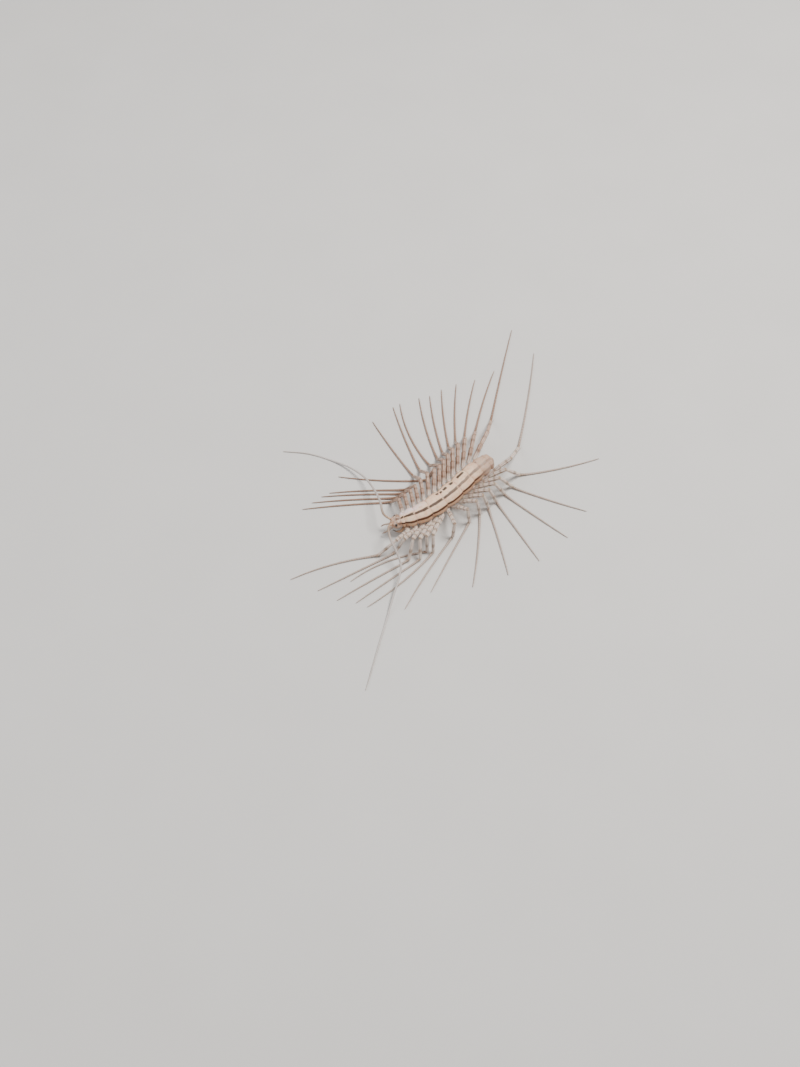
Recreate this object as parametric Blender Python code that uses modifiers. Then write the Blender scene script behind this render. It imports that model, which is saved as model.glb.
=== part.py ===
"""House centipede, a still model at life size, standing on the floor with its long legs spread.

The head points to -X and the tail to +X, so the animal's left side is at -Y. The floor is z = 0.
The trunk and head are modelled straight, along X, and then bent to follow the body's curve and lean.
"""

import math

import bmesh
import bpy
import numpy as np
from mathutils import Matrix, Vector

MM = 0.001
GAP = 0.26 * MM  # between neighbouring parts

# Lengths along the body, from the front of the head to the end of the tail
HEAD_LENGTH = 2.6 * MM
TERGITE_LENGTHS = [length * MM for length in (2.2, 3.3, 3.6, 4.2, 3.6, 2.9, 2.3, 1.3)]
TRUNK_LENGTH = sum(TERGITE_LENGTHS)
TELSON_LENGTH = 1.0 * MM

# The body's curve seen from above: its heading in degrees at distances behind the head's front
FRONT_OF_HEAD = Vector((-12.4 * MM, 2.1 * MM))
CURVE_AT = [distance * MM for distance in (0, 3, 6, 8.5, 12, 16, 19, 23, 27)]
CURVE_HEADING = (-24, -20, -12, -2, 3, 11, 13, 8, 3)
CURVE_STEP = 0.1 * MM

# The body leans to its left, about the crest of its back: how far in degrees at these distances
LEAN_AT = [distance * MM for distance in (1, 5, 12, 20, 27)]
LEAN = (3, 9, 20, 18, 12)
CREST_HEIGHT = 4.95 * MM

# Cross-section of the trunk: half width along the body, and heights above the floor
WIDTH_AT = [distance * MM for distance in (3, 5, 9, 14, 19, 23, 26)]
HALF_WIDTH = [width * MM for width in (1.5, 1.66, 1.76, 1.8, 1.78, 1.66, 1.36)]
TRUNK_MIDDLE = 3.28 * MM
TRUNK_HALF_HEIGHT = 1.38 * MM
TRUNK_SIDES = 16

# Tergites: the back plates, raised above the flesh and widest at their rear corners
PLATE_PROUD = 0.22 * MM
PLATE_RISE = 0.16 * MM
PLATE_WIDER = 0.36 * MM
PLATE_THICKNESS = 0.34 * MM
PLATE_REACH = math.radians(80)
STOMA_DEPTH = 0.42 * MM
STOMA_WIDTH = math.radians(13)
PLATE_ACROSS = 12
PLATE_ALONG = 4

CORNER_BACK = 0.3 * MM  # how much further back a plate's rear corners reach
PLATE_FRONT_WIDENING = 0.55  # share of the widening that is there at the plate's front
FLESH_PINCH = 0.1  # how much narrower a length of flesh is at its ends
BELLY_FLATNESS = 0.86  # height of the belly's half against the back's

# Head: places are in the straight body, in mm: behind the head's front, out sideways, over the floor
HEAD_HALF_WIDTH = 1.52 * MM
HEAD_HALF_HEIGHT = 1.02 * MM
HEAD_MIDDLE = 3.62 * MM
HEAD_FRONT_WIDTH, HEAD_BACK_WIDTH = 0.86, 1.06
HEAD_BACK_HEIGHT = 1.12
HEAD_FRONT_DROP = 0.3 * MM
FACE_PLACE = Vector((0.42, 0, 3.2)) * MM
FACE_SIZE = (0.55 * MM, 0.72 * MM, 0.6 * MM)
EYE_LENGTH = 1.05 * MM
EYE_HEIGHT = 0.92 * MM
EYE_BULGE = 0.5 * MM
EYE_SUNK = 0.9  # how deep an eye's own ball is cut, in bulges
EYE_PLACE = (1.02, 1.05, 3.96)
EYE_LOOKS = (-0.62, 0.74, 0.26)

# Mouthparts: the places that each bends through, and its radii from root to tip, in mm
FORCIPULE_BENDS = ((2.66, 1.12, 2.16), (1.9, 1.5, 1.84), (1.0, 1.24, 1.64), (0.4, 0.64, 1.5))
FORCIPULE_RADII = (0.32, 0.34, 0.27, 0.08)
PALP_BENDS = ((0.45, 0.42, 2.2), (-0.5, 0.72, 1.78), (-1.25, 0.86, 1.4), (-1.8, 0.78, 0.95))
PALP_RADII = (0.24, 0.25, 0.23, 0.1)
MOUTHPART_POINTS = 9

# Telson: the cone's cross-section against the trunk's, and its two lobes
TELSON_WIDTH, TELSON_HEIGHT = 0.86, 0.84
TELSON_RAISED = 0.1 * MM
LOBE_SIZE = (0.75 * MM, 0.26 * MM, 0.26 * MM)
LOBE_PLACE = (0.6 * MM, 0.42 * MM, -0.45 * MM)

# Legs: fifteen on each side, from just behind the head to the tail
LEGS = 15
FIRST_LEG = 3.2 * MM
LEG_SPACING = 1.5 * MM
LEG_ROOT_HEIGHT = 2.42 * MM
FLANK = 0.84  # how far out a leg's root is, in half widths of the trunk, before the gap
FLANK_GAP = 0.38 * MM
COXA_LENGTH = 0.62 * MM
COXA_RISE = 0.04 * MM
ANKLE_HEIGHT = 0.5 * MM
KNEE_ROUNDING = 0.42 * MM
FEMUR_ARCH = 0.06
TARSUS_SETTLES = 0.22
TARSUS_POINTS = 9
LEG_THICKNESS_AT = (1, 6, 13, 15)
LEG_THICKNESS = (0.9, 0.95, 1.04, 1.06)
TARSUS_LENGTH_AT = (1, 4, 7, 10, 13, 14, 15)
TARSUS_LENGTH = (18.5, 16.0, 19.0, 16.0, 16.5, 18.0, 27.0)

# Radii of a leg of thickness 1, in mm: along the coxa, each long segment, and the tarsus
COXA_RADIUS = 0.42
PREFEMUR_RADII = (0.4, 0.42, 0.38)
FEMUR_RADII = (0.35, 0.37, 0.35)
TIBIA_RADII = (0.32, 0.34, 0.3)
TARSUS_RADII = (0.26, 0.255, 0.25, 0.24, 0.12)
TARSUS_RADII_AT = (0, 0.25, 0.5, 0.85, 1)
FOOT_SINK = 0.66  # height of a lying tarsus's middle, in radii, so that its underside is cut flat

# The stance of chosen legs, the others lie between their neighbours. Angles in degrees are from
# straight out sideways towards the tail, lengths and heights in mm:
# femur angle, reach to the knee, knee height, tibia angle, reach to the ankle,
# angle at which the tarsus starts, and how far it turns to its tip
STANCE_LEFT = {
    1: (-57, 4.3, 3.4, -80, 4.0, -99, 20),
    2: (-56, 4.6, 3.9, -78, 2.2, -81, 0),
    3: (-52, 5.3, 4.3, -42, 2.8, -84, 4),
    4: (-54, 6.2, 4.6, -30, 2.4, -84, 2),
    5: (-56, 6.8, 4.9, -24, 1.0, -118, 34),
    6: (-55, 7.5, 5.0, -34, 1.4, -76, -16),
    7: (-27, 5.5, 4.7, -60, 0.6, -74, 8),
    8: (2, 4.2, 5.0, 20, 0.7, -70, 2),
    9: (15, 4.3, 5.3, 36, 1.0, -48, -8),
    11: (20, 4.6, 5.4, 50, 1.9, -18, 0),
    13: (32, 4.6, 5.6, 66, 3.2, 20, 6),
    14: (48, 4.8, 5.7, 78, 4.0, 54, 12),
    15: (74, 5.6, 5.2, 116, 6.2, 124, 6),
}
STANCE_RIGHT = {
    1: (-4, 2.9, 4.2, -28, 2.2, -76, -6),
    4: (16, 3.8, 5.0, -16, 2.6, -58, -8),
    5: (24, 4.3, 5.2, 16, 4.0, 0, 6),
    6: (32, 4.8, 5.4, 17, 4.0, 14, 8),
    7: (40, 4.8, 5.5, -24, 1.3, -54, 12),
    8: (44, 4.8, 5.6, 14, 3.8, 6, 30),
    9: (46, 5.0, 5.8, 30, 4.0, 25, 14),
    11: (48, 5.6, 6.0, 42, 4.0, 39, 9),
    13: (51, 5.8, 6.1, 50, 4.2, 52, 8),
    14: (58, 6.0, 6.0, 52, 4.6, 56, 8),
    15: (70, 6.8, 5.4, 54, 6.4, 54, 2),
}

# Antennae, in mm over the floor: the points that each bends through, from its socket to its tip
ANTENNA_RADII = (0.28, 0.26, 0.25, 0.25, 0.25, 0.12)
ANTENNA_SOCKET = (0.2, 0.5, 4.0)
ANTENNA_LEFT = (
    (-13.7, 0.9, 4.5), (-14.9, -1.6, 4.5), (-15.2, -4.0, 3.5), (-15.9, -6.4, 2.4), (-17.7, -8.3, 1.7),
    (-20.8, -10.7, 1.0), (-24.7, -13.8, 0.16), (-30.5, -18.6, 0.16), (-36.1, -23.3, 0.16),
)
ANTENNA_RIGHT = (
    (-12.6, 4.3, 4.5), (-11.2, 7.6, 4.1), (-10.2, 11.6, 2.9), (-9.8, 15.4, 1.7),
    (-10.6, 19.6, 0.8), (-12.6, 23.8, 0.16), (-15.6, 28.0, 0.16), (-19.6, 31.6, 0.16),
)
ANTENNA_POINTS = 26

MODEL_MIDDLE = Vector((2.655 * MM, 4.15 * MM))  # of the whole outline seen from above: the origin goes here
TUBE_RESOLUTION = 1
SHARP_FROM = math.radians(50)
LEFT, RIGHT = -1, 1
SIDE_NAMES = {LEFT: "left", RIGHT: "right"}


# The body's curve

def heading(along):
    return math.radians(float(np.interp(along, CURVE_AT, CURVE_HEADING)))


def spine(along):
    """The point of the body's middle line this far behind the head's front, seen from above."""
    point = FRONT_OF_HEAD.copy()
    steps = max(1, math.ceil(abs(along) / CURVE_STEP))
    for step in range(steps):
        turn = heading((step + 0.5) * along / steps)
        point += Vector((math.cos(turn), math.sin(turn))) * (along / steps)
    return point


def body_axes(along):
    """The middle line's point, and the directions to the tail and to the animal's right."""
    turn = heading(along)
    return spine(along), Vector((math.cos(turn), math.sin(turn))), Vector((-math.sin(turn), math.cos(turn)))


def bent(point):
    """A point of the straight body, moved to where the curved, leaning body has it."""
    middle, _, sideways = body_axes(point.x)
    lean = math.radians(float(np.interp(point.x, LEAN_AT, LEAN)))
    above = point.z - CREST_HEIGHT
    place = middle + sideways * (point.y * math.cos(lean) - above * math.sin(lean))
    return Vector((place.x, place.y, CREST_HEIGHT + point.y * math.sin(lean) + above * math.cos(lean)))


def bend(mesh):
    for vertex in mesh.vertices:
        vertex.co = bent(vertex.co)


# Shapes

def mesh_object(name, bm):
    bmesh.ops.recalc_face_normals(bm, faces=bm.faces)
    mesh = bpy.data.meshes.new(name)
    bm.to_mesh(mesh)
    bm.free()
    thing = bpy.data.objects.new(name, mesh)
    bpy.context.scene.collection.objects.link(thing)
    return thing


def evaluated_mesh(thing):
    graph = bpy.context.evaluated_depsgraph_get()
    return bpy.data.meshes.new_from_object(thing.evaluated_get(graph))


def largest_surface(mesh):
    """Keeps only the biggest closed surface of a mesh."""
    bm = bmesh.new()
    bm.from_mesh(mesh)
    bmesh.ops.remove_doubles(bm, verts=bm.verts, dist=1e-7)
    unseen = set(bm.faces)
    shells = []
    while unseen:
        shell = {unseen.pop()}
        edge_of_shell = list(shell)
        while edge_of_shell:
            face = edge_of_shell.pop()
            for edge in face.edges:
                for other in edge.link_faces:
                    if other in unseen:
                        unseen.discard(other)
                        shell.add(other)
                        edge_of_shell.append(other)
        shells.append(shell)
    shells.sort(key=lambda shell: sum(face.calc_area() for face in shell), reverse=True)
    for shell in shells[1:]:
        bmesh.ops.delete(bm, geom=list(shell), context="FACES")
    bm.to_mesh(mesh)
    bm.free()


def fused(name, pieces):
    """One closed object made of the pieces, which it takes the place of."""
    first, rest = pieces[0], pieces[1:]
    joined = bpy.data.collections.new(name + "_pieces")
    for piece in rest:
        bpy.context.scene.collection.objects.unlink(piece)
        joined.objects.link(piece)
    bpy.context.scene.collection.children.link(joined)
    union = first.modifiers.new("Union", "BOOLEAN")
    union.operation = "UNION"
    union.solver = "EXACT"
    union.operand_type = "COLLECTION"
    union.collection = joined
    mesh = evaluated_mesh(first)
    largest_surface(mesh)
    for piece in pieces:
        bpy.data.objects.remove(piece)
    bpy.data.collections.remove(joined)
    thing = bpy.data.objects.new(name, mesh)
    bpy.context.scene.collection.objects.link(thing)
    return thing


def cut(thing, point, away):
    """Takes off what lies past a plane, and closes the cut."""
    bm = bmesh.new()
    bm.from_mesh(thing.data)
    geometry = bm.verts[:] + bm.edges[:] + bm.faces[:]
    bmesh.ops.bisect_plane(bm, geom=geometry, dist=1e-8, plane_co=point, plane_no=away, clear_outer=True)
    open_edges = [edge for edge in bm.edges if edge.is_boundary]
    bmesh.ops.holes_fill(bm, edges=open_edges, sides=0)
    bmesh.ops.recalc_face_normals(bm, faces=bm.faces)
    bm.to_mesh(thing.data)
    bm.free()


def tube(name, points, radii):
    """A tube along the points, with its own radius at each."""
    curve = bpy.data.curves.new(name + "_line", "CURVE")
    curve.dimensions = "3D"
    curve.bevel_depth = 1.0
    curve.bevel_resolution = TUBE_RESOLUTION
    curve.use_fill_caps = True
    line = curve.splines.new("POLY")
    line.points.add(len(points) - 1)
    for place, point, radius in zip(line.points, points, radii):
        place.co = (*point, 1.0)
        place.radius = radius
    guide = bpy.data.objects.new(name + "_line", curve)
    bpy.context.scene.collection.objects.link(guide)
    mesh = evaluated_mesh(guide)
    bpy.data.objects.remove(guide)
    bm = bmesh.new()
    bm.from_mesh(mesh)
    bmesh.ops.remove_doubles(bm, verts=bm.verts, dist=1e-7)
    return mesh_object(name, bm)


def smooth_line(bends, count):
    """Evenly spread points of a smooth curve through the bends."""
    ends = [2 * bends[0] - bends[1], *bends, 2 * bends[-1] - bends[-2]]
    points = []
    for place in np.linspace(0, len(bends) - 1, count):
        span = min(int(place), len(bends) - 2)
        t = place - span
        a, b, c, d = ends[span:span + 4]
        rounding = (2 * a - 5 * b + 4 * c - d) * t**2 + (3 * b - a - 3 * c + d) * t**3
        points.append(b + ((c - a) * t + rounding) / 2)
    return points


# Head

def dome(name, half_length, half_width, half_height, sides, rings):
    bm = bmesh.new()
    bmesh.ops.create_uvsphere(bm, u_segments=sides, v_segments=rings, radius=1.0)
    bmesh.ops.rotate(bm, verts=bm.verts, cent=(0, 0, 0), matrix=Matrix.Rotation(math.radians(90), 3, "Y"))
    bmesh.ops.scale(bm, verts=bm.verts, vec=(half_length, half_width, half_height))
    return mesh_object(name, bm)


def eye_place(side):
    """Middle of an eye's base in the straight body, and the direction the eye looks."""
    along, out, height = EYE_PLACE
    forward, outward, upward = EYE_LOOKS
    return Vector((along, side * out, height)) * MM, Vector((forward, side * outward, upward)).normalized()


def head():
    half = HEAD_LENGTH / 2
    skull = dome("skull", half, HEAD_HALF_WIDTH, HEAD_HALF_HEIGHT, 18, 12)
    for vertex in skull.data.vertices:
        x, y, z = vertex.co
        back = (x / half + 1) / 2
        vertex.co.y = y * (HEAD_FRONT_WIDTH + (HEAD_BACK_WIDTH - HEAD_FRONT_WIDTH) * back)
        height = z * (1 + (HEAD_BACK_HEIGHT - 1) * back)
        vertex.co.z = HEAD_MIDDLE + height - HEAD_FRONT_DROP * (1 - back)
        vertex.co.x = x + half
    face_plate = dome("face_plate", *FACE_SIZE, 12, 8)
    for vertex in face_plate.data.vertices:
        vertex.co += FACE_PLACE
    thing = fused("head", [skull, face_plate])
    cut(thing, Vector((HEAD_LENGTH - GAP / 2, 0, 0)), Vector((1, 0, 0)))
    for side in (LEFT, RIGHT):
        point, looks = eye_place(side)
        cut(thing, point - looks * GAP, looks)
    bend(thing.data)
    return thing


def eye(side):
    point, looks = eye_place(side)
    thing = dome("eye_" + SIDE_NAMES[side], EYE_LENGTH / 2, EYE_BULGE * 2, EYE_HEIGHT / 2, 12, 8)
    base = Vector((0, EYE_BULGE * EYE_SUNK, 0))
    cut(thing, base, Vector((0, -1, 0)))
    turn = Vector((0, 1, 0)).rotation_difference(looks).to_matrix()
    for vertex in thing.data.vertices:
        vertex.co = turn @ (vertex.co - base) + point
    bend(thing.data)
    return thing


def mouthpart(name, side, bends, radii):
    line = smooth_line([Vector((x, side * y, z)) * MM for x, y, z in bends], MOUTHPART_POINTS)
    shares = np.linspace(0, 1, MOUTHPART_POINTS)
    widths = np.interp(shares, np.linspace(0, 1, len(radii)), radii) * MM
    thing = tube(name + "_" + SIDE_NAMES[side], line, widths)
    bend(thing.data)
    return thing


def forcipule(side):
    """A poison claw, rooted under the neck and curving forward and inward under the head."""
    return mouthpart("forcipule", side, FORCIPULE_BENDS, FORCIPULE_RADII)


def palp(side):
    """A feeler-like mouth leg, from under the face forward and down."""
    return mouthpart("palp", side, PALP_BENDS, PALP_RADII)


def antenna_line(side):
    """Centre line and radii of an antenna, from its socket on the face to its tip."""
    along, out, height = ANTENNA_SOCKET
    bends = [bent(Vector((along, side * out, height)) * MM)]
    bends += [Vector(point) * MM for point in (ANTENNA_LEFT if side == LEFT else ANTENNA_RIGHT)]
    shares = np.linspace(0, 1, ANTENNA_POINTS)
    radii = np.interp(shares, np.linspace(0, 1, len(ANTENNA_RADII)), ANTENNA_RADII) * MM
    return smooth_line(bends, ANTENNA_POINTS), radii


def antenna(side):
    line, radii = antenna_line(side)
    thing = tube("antenna_" + SIDE_NAMES[side], line, radii)
    cut(thing, Vector((0, 0, 0)), Vector((0, 0, -1)))
    return thing


# Trunk

def half_width(along):
    return float(np.interp(along, WIDTH_AT, HALF_WIDTH))


def ring(start, end):
    """A length of the trunk's flesh, flattened below."""
    bm = bmesh.new()
    bmesh.ops.create_cone(bm, cap_ends=True, segments=TRUNK_SIDES, radius1=1, radius2=1, depth=end - start)
    bmesh.ops.rotate(bm, verts=bm.verts, cent=(0, 0, 0), matrix=Matrix.Rotation(math.radians(90), 3, "Y"))
    bmesh.ops.translate(bm, verts=bm.verts, vec=((start + end) / 2, 0, 0))
    for place in np.linspace(start, end, 4)[1:-1]:
        geometry = bm.verts[:] + bm.edges[:] + bm.faces[:]
        bmesh.ops.bisect_plane(bm, geom=geometry, dist=1e-8, plane_co=(place, 0, 0), plane_no=(1, 0, 0))
    for vertex in bm.verts:
        swell = 1 - FLESH_PINCH * ((2 * vertex.co.x - start - end) / (end - start)) ** 2
        below = BELLY_FLATNESS if vertex.co.z < 0 else 1.0
        vertex.co.y *= half_width(vertex.co.x) * swell
        vertex.co.z = vertex.co.z * TRUNK_HALF_HEIGHT * swell * below + TRUNK_MIDDLE
    return mesh_object("ring", bm)


def plate(start, end):
    """A tergite: an arched plate, widest towards its rear, with the notch of its breathing slit."""
    bm = bmesh.new()
    bmesh.ops.create_grid(bm, x_segments=PLATE_ALONG, y_segments=PLATE_ACROSS, size=1)
    for vertex in bm.verts:
        across = vertex.co.y * PLATE_REACH
        back = (vertex.co.x + 1) / 2
        notch = STOMA_DEPTH * math.exp(-((across / STOMA_WIDTH) ** 2))
        corner = CORNER_BACK * abs(vertex.co.y) ** 4
        along = start + corner + back * (end - start - 1.2 * corner - notch)
        lift = PLATE_PROUD + PLATE_RISE * back
        widening = PLATE_FRONT_WIDENING + (1 - PLATE_FRONT_WIDENING) * back
        reach = half_width(along) + PLATE_WIDER * widening
        vertex.co = (
            along,
            reach * math.sin(across),
            TRUNK_MIDDLE + (TRUNK_HALF_HEIGHT + lift) * math.cos(across),
        )
    thing = mesh_object("plate", bm)
    if thing.data.polygons[0].normal.z < 0:
        thing.data.flip_normals()
    thickness = thing.modifiers.new("Thickness", "SOLIDIFY")
    thickness.thickness = PLATE_THICKNESS
    thickness.offset = -1
    mesh = evaluated_mesh(thing)
    bpy.data.objects.remove(thing)
    solid = bpy.data.objects.new("plate", mesh)
    bpy.context.scene.collection.objects.link(solid)
    return solid


def trunk(number):
    start = HEAD_LENGTH + sum(TERGITE_LENGTHS[:number - 1])
    end = start + TERGITE_LENGTHS[number - 1]
    flesh = ring(start + GAP / 2, end - GAP / 2)
    thing = fused(f"trunk_{number}", [flesh, plate(start + GAP / 2, end - GAP / 2)])
    bend(thing.data)
    return thing


def telson():
    """The tail's last segment, a blunt cone with two small lobes."""
    start = HEAD_LENGTH + TRUNK_LENGTH + GAP / 2
    width, height = half_width(start) * TELSON_WIDTH, TRUNK_HALF_HEIGHT * TELSON_HEIGHT
    cone = dome("cone", TELSON_LENGTH, width, height, 12, 8)
    for vertex in cone.data.vertices:
        vertex.co += Vector((start, 0, TRUNK_MIDDLE + TELSON_RAISED))
    pieces = [cone]
    behind, out, up = LOBE_PLACE
    for side in (LEFT, RIGHT):
        lobe = dome("lobe", *LOBE_SIZE, 8, 6)
        for vertex in lobe.data.vertices:
            vertex.co += Vector((start + behind, side * out, TRUNK_MIDDLE + up))
        pieces.append(lobe)
    thing = fused("telson", pieces)
    cut(thing, Vector((start, 0, 0)), Vector((-1, 0, 0)))
    bend(thing.data)
    return thing


# Legs

def stance(number, side):
    """This leg's angles and reaches, read between the legs whose stance is given."""
    given = STANCE_LEFT if side == LEFT else STANCE_RIGHT
    keys = sorted(given)
    return [float(np.interp(number, keys, [given[key][item] for key in keys])) for item in range(7)]


def rounded(corners, size):
    """The corners of a bent line, each made three points of a small arc."""
    points = [corners[0]]
    for before, corner, after in zip(corners, corners[1:], corners[2:]):
        step_in = (before - corner).normalized() * min(size, (before - corner).length * 0.4)
        step_out = (after - corner).normalized() * min(size, (after - corner).length * 0.4)
        points += [corner + step_in, corner + (step_in + step_out) * 0.22, corner + step_out]
    points.append(corners[-1])
    return points


def leg_line(number, side):
    """Centre line and radii of a leg, from its coxa to the tip of its tarsus."""
    femur_turn, reach, knee_height, tibia_turn, fall, start_turn, curl = stance(number, side)
    along = FIRST_LEG + (number - 1) * LEG_SPACING
    _, to_tail, sideways = body_axes(along)
    out = sideways * side

    def direction(turn):
        flat = out * math.cos(math.radians(turn)) + to_tail * math.sin(math.radians(turn))
        return Vector((flat.x, flat.y, 0))

    root = side * (half_width(along) * FLANK + FLANK_GAP)
    hip = bent(Vector((along, root, LEG_ROOT_HEIGHT)))
    coxa_end = bent(Vector((along, root + side * COXA_LENGTH, LEG_ROOT_HEIGHT + COXA_RISE)))
    knee = coxa_end + direction(femur_turn) * (reach * MM - COXA_LENGTH)
    knee.z = knee_height * MM
    bend_height = FEMUR_ARCH * (knee - coxa_end).length
    middle_joint = coxa_end.lerp(knee, 0.5) + Vector((0, 0, bend_height))
    ankle = knee + direction(tibia_turn) * (fall * MM)
    ankle.z = ANKLE_HEIGHT
    thick = float(np.interp(number, LEG_THICKNESS_AT, LEG_THICKNESS)) * MM
    corners = [hip, coxa_end, middle_joint, knee, ankle]
    foot_height = TARSUS_RADII[1] * MM * FOOT_SINK
    length = float(np.interp(number, TARSUS_LENGTH_AT, TARSUS_LENGTH)) * MM
    tarsus = []
    point = ankle.copy()
    for step in range(1, TARSUS_POINTS + 1):
        share = (step - 0.5) / TARSUS_POINTS
        point += direction(start_turn + curl * share) * (length / TARSUS_POINTS)
        settle = min(1.0, step / TARSUS_POINTS / TARSUS_SETTLES)
        point.z = ANKLE_HEIGHT + (foot_height - ANKLE_HEIGHT) * settle
        tarsus.append(point.copy())
    points = rounded(corners + [tarsus[0]], KNEE_ROUNDING) + tarsus[1:]
    radii = [COXA_RADIUS, COXA_RADIUS, *PREFEMUR_RADII, *FEMUR_RADII, *TIBIA_RADII]
    radii += [TIBIA_RADII[-1], TARSUS_RADII[0]]
    tapering = np.interp(np.linspace(0, 1, TARSUS_POINTS), TARSUS_RADII_AT, TARSUS_RADII)
    return points, [radius * thick for radius in radii] + [radius * MM for radius in tapering]


def leg(number, side):
    points, radii = leg_line(number, side)
    thing = tube(f"leg_{SIDE_NAMES[side]}_{number:02d}", points, radii)
    cut(thing, Vector((0, 0, 0)), Vector((0, 0, -1)))
    return thing


# Finish

def material(name, colour, roughness):
    finish = bpy.data.materials.new(name)
    finish.use_nodes = True
    shader = finish.node_tree.nodes["Principled BSDF"]
    shader.inputs["Base Color"].default_value = (*colour, 1)
    shader.inputs["Roughness"].default_value = roughness
    shader.inputs["Metallic"].default_value = 0
    return finish


COLOURS = {
    "head": ((0.47, 0.37, 0.30), 0.45),
    "eye": ((0.012, 0.010, 0.009), 0.15),
    "trunk": ((0.52, 0.42, 0.33), 0.45),
    "telson": ((0.45, 0.36, 0.29), 0.45),
    "leg": ((0.50, 0.44, 0.38), 0.5),
    "antenna": ((0.42, 0.36, 0.31), 0.5),
    "forcipule": ((0.40, 0.30, 0.22), 0.4),
    "palp": ((0.48, 0.41, 0.34), 0.5),
}


def main():
    for thing in list(bpy.data.objects):
        bpy.data.objects.remove(thing)
    parts = [head()]
    for side in (LEFT, RIGHT):
        parts += [eye(side), antenna(side), forcipule(side), palp(side)]
    parts += [trunk(number) for number in range(1, len(TERGITE_LENGTHS) + 1)]
    parts.append(telson())
    for side in (LEFT, RIGHT):
        parts += [leg(number, side) for number in range(1, LEGS + 1)]
    animal = bpy.data.collections.new("house_centipede")
    bpy.context.scene.collection.children.link(animal)
    for part in parts:
        for vertex in part.data.vertices:
            vertex.co -= MODEL_MIDDLE.to_3d()
        colour, roughness = COLOURS[part.name.split("_")[0]]
        part.data.materials.clear()
        part.data.materials.append(material(part.name + "_finish", colour, roughness))
        part.data.shade_smooth()
        part.data.set_sharp_from_angle(angle=SHARP_FROM)
        bpy.context.scene.collection.objects.unlink(part)
        animal.objects.link(part)


main()
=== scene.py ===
import math

import bpy
import numpy as np
from mathutils import Matrix, Vector


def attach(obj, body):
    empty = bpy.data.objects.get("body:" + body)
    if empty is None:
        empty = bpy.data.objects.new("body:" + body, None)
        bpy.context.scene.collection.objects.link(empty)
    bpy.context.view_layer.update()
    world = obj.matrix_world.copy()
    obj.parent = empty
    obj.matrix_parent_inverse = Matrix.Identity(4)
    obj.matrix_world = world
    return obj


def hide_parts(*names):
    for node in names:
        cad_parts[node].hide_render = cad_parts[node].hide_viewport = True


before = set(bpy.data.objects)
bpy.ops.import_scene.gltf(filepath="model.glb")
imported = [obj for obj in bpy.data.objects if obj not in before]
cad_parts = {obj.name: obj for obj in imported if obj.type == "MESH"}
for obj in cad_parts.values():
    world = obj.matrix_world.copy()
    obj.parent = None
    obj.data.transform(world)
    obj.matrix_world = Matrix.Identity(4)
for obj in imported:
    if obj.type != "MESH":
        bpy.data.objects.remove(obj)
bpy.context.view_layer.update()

# House centipede: the looks of a still model at life size.
# The head points to -X and the tail to +X, so the animal's left side is at -Y, and the floor is z = 0.
# Every piece is modelled in millimetres and made metres when it is finished. The body is modelled
# straight, along X from the head's front, and then bent to follow the body's curve.

TO_METRES = 0.001
SHARP = math.radians(50)  # edges that turn by more than this stay sharp, or are rounded on the plates
LEFT, RIGHT = -1, 1
SIDE_NAMES = {LEFT: "left", RIGHT: "right"}

# The middle of the outline seen from above, which is the origin, and where the head's front is
MODEL_MIDDLE = np.array((2.655, 4.15))
FRONT_OF_HEAD = np.array((-12.4, 2.1)) - MODEL_MIDDLE

# The body's curve seen from above: its heading in degrees at distances behind the head's front, and
# how far the curve runs on before and behind the body
CURVE_AT = (0, 3, 6, 8.5, 12, 16, 19, 23, 27)
CURVE_HEADING = (-24, -20, -12, -2, 3, 11, 13, 8, 3)
CURVE_STEP = 0.05
CURVE_REACH = 8

# The body leans to its left, about the crest of its back: how far in degrees at these distances
LEAN_AT = (1, 5, 12, 20, 27)
LEAN = (3, 9, 20, 18, 12)
CREST_HEIGHT = 4.95

# The body's lengths, from the head to where the last plate ends and the tail begins
HEAD_LENGTH = 2.6
TERGITE_LENGTHS = (2.2, 3.3, 3.6, 4.2, 3.6, 2.9, 2.3, 1.3)
TAIL_START = HEAD_LENGTH + sum(TERGITE_LENGTHS)

# The trunk's cross-section; the flesh under the plates is slimmer, and more so at the neck
WIDTH_AT = (3, 5, 9, 14, 19, 23, 26)
HALF_WIDTH = (1.5, 1.66, 1.76, 1.8, 1.78, 1.66, 1.36)
TRUNK_MIDDLE = 3.28
TRUNK_HALF_HEIGHT = 1.38
BELLY_FLATNESS = 0.86
FLESH_SHARE = 0.94
NECK_SHARE = 0.7
NECK_AT = (1.4, 4.4)

# Legs: where they leave the flanks, how high they stand, and by their number how thick they are and
# how long their tarsi are
LEGS = 15
FIRST_LEG = 3.2
LEG_SPACING = 1.5
LEG_ROOT_HEIGHT = 2.42
FLANK = 0.84
FLANK_GAP = 0.38
COXA_LENGTH = 0.62
COXA_RISE = 0.04
FEMUR_ARCH = 0.06
ANKLE_HEIGHT = 0.5
FOOT_HEIGHT = 0.17
FLOOR_CLEARANCE = 0.01
TARSUS_SETTLES = 0.22
TARSUS_STEPS = 45
LEG_THICKNESS_AT = (1, 6, 13, 15)
LEG_THICKNESS = (0.9, 0.95, 1.04, 1.06)
TARSUS_LENGTH_AT = (1, 4, 7, 10, 13, 14, 15)
TARSUS_LENGTH = (18.5, 16.0, 19.0, 16.0, 16.5, 18.0, 27.0)

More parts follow.
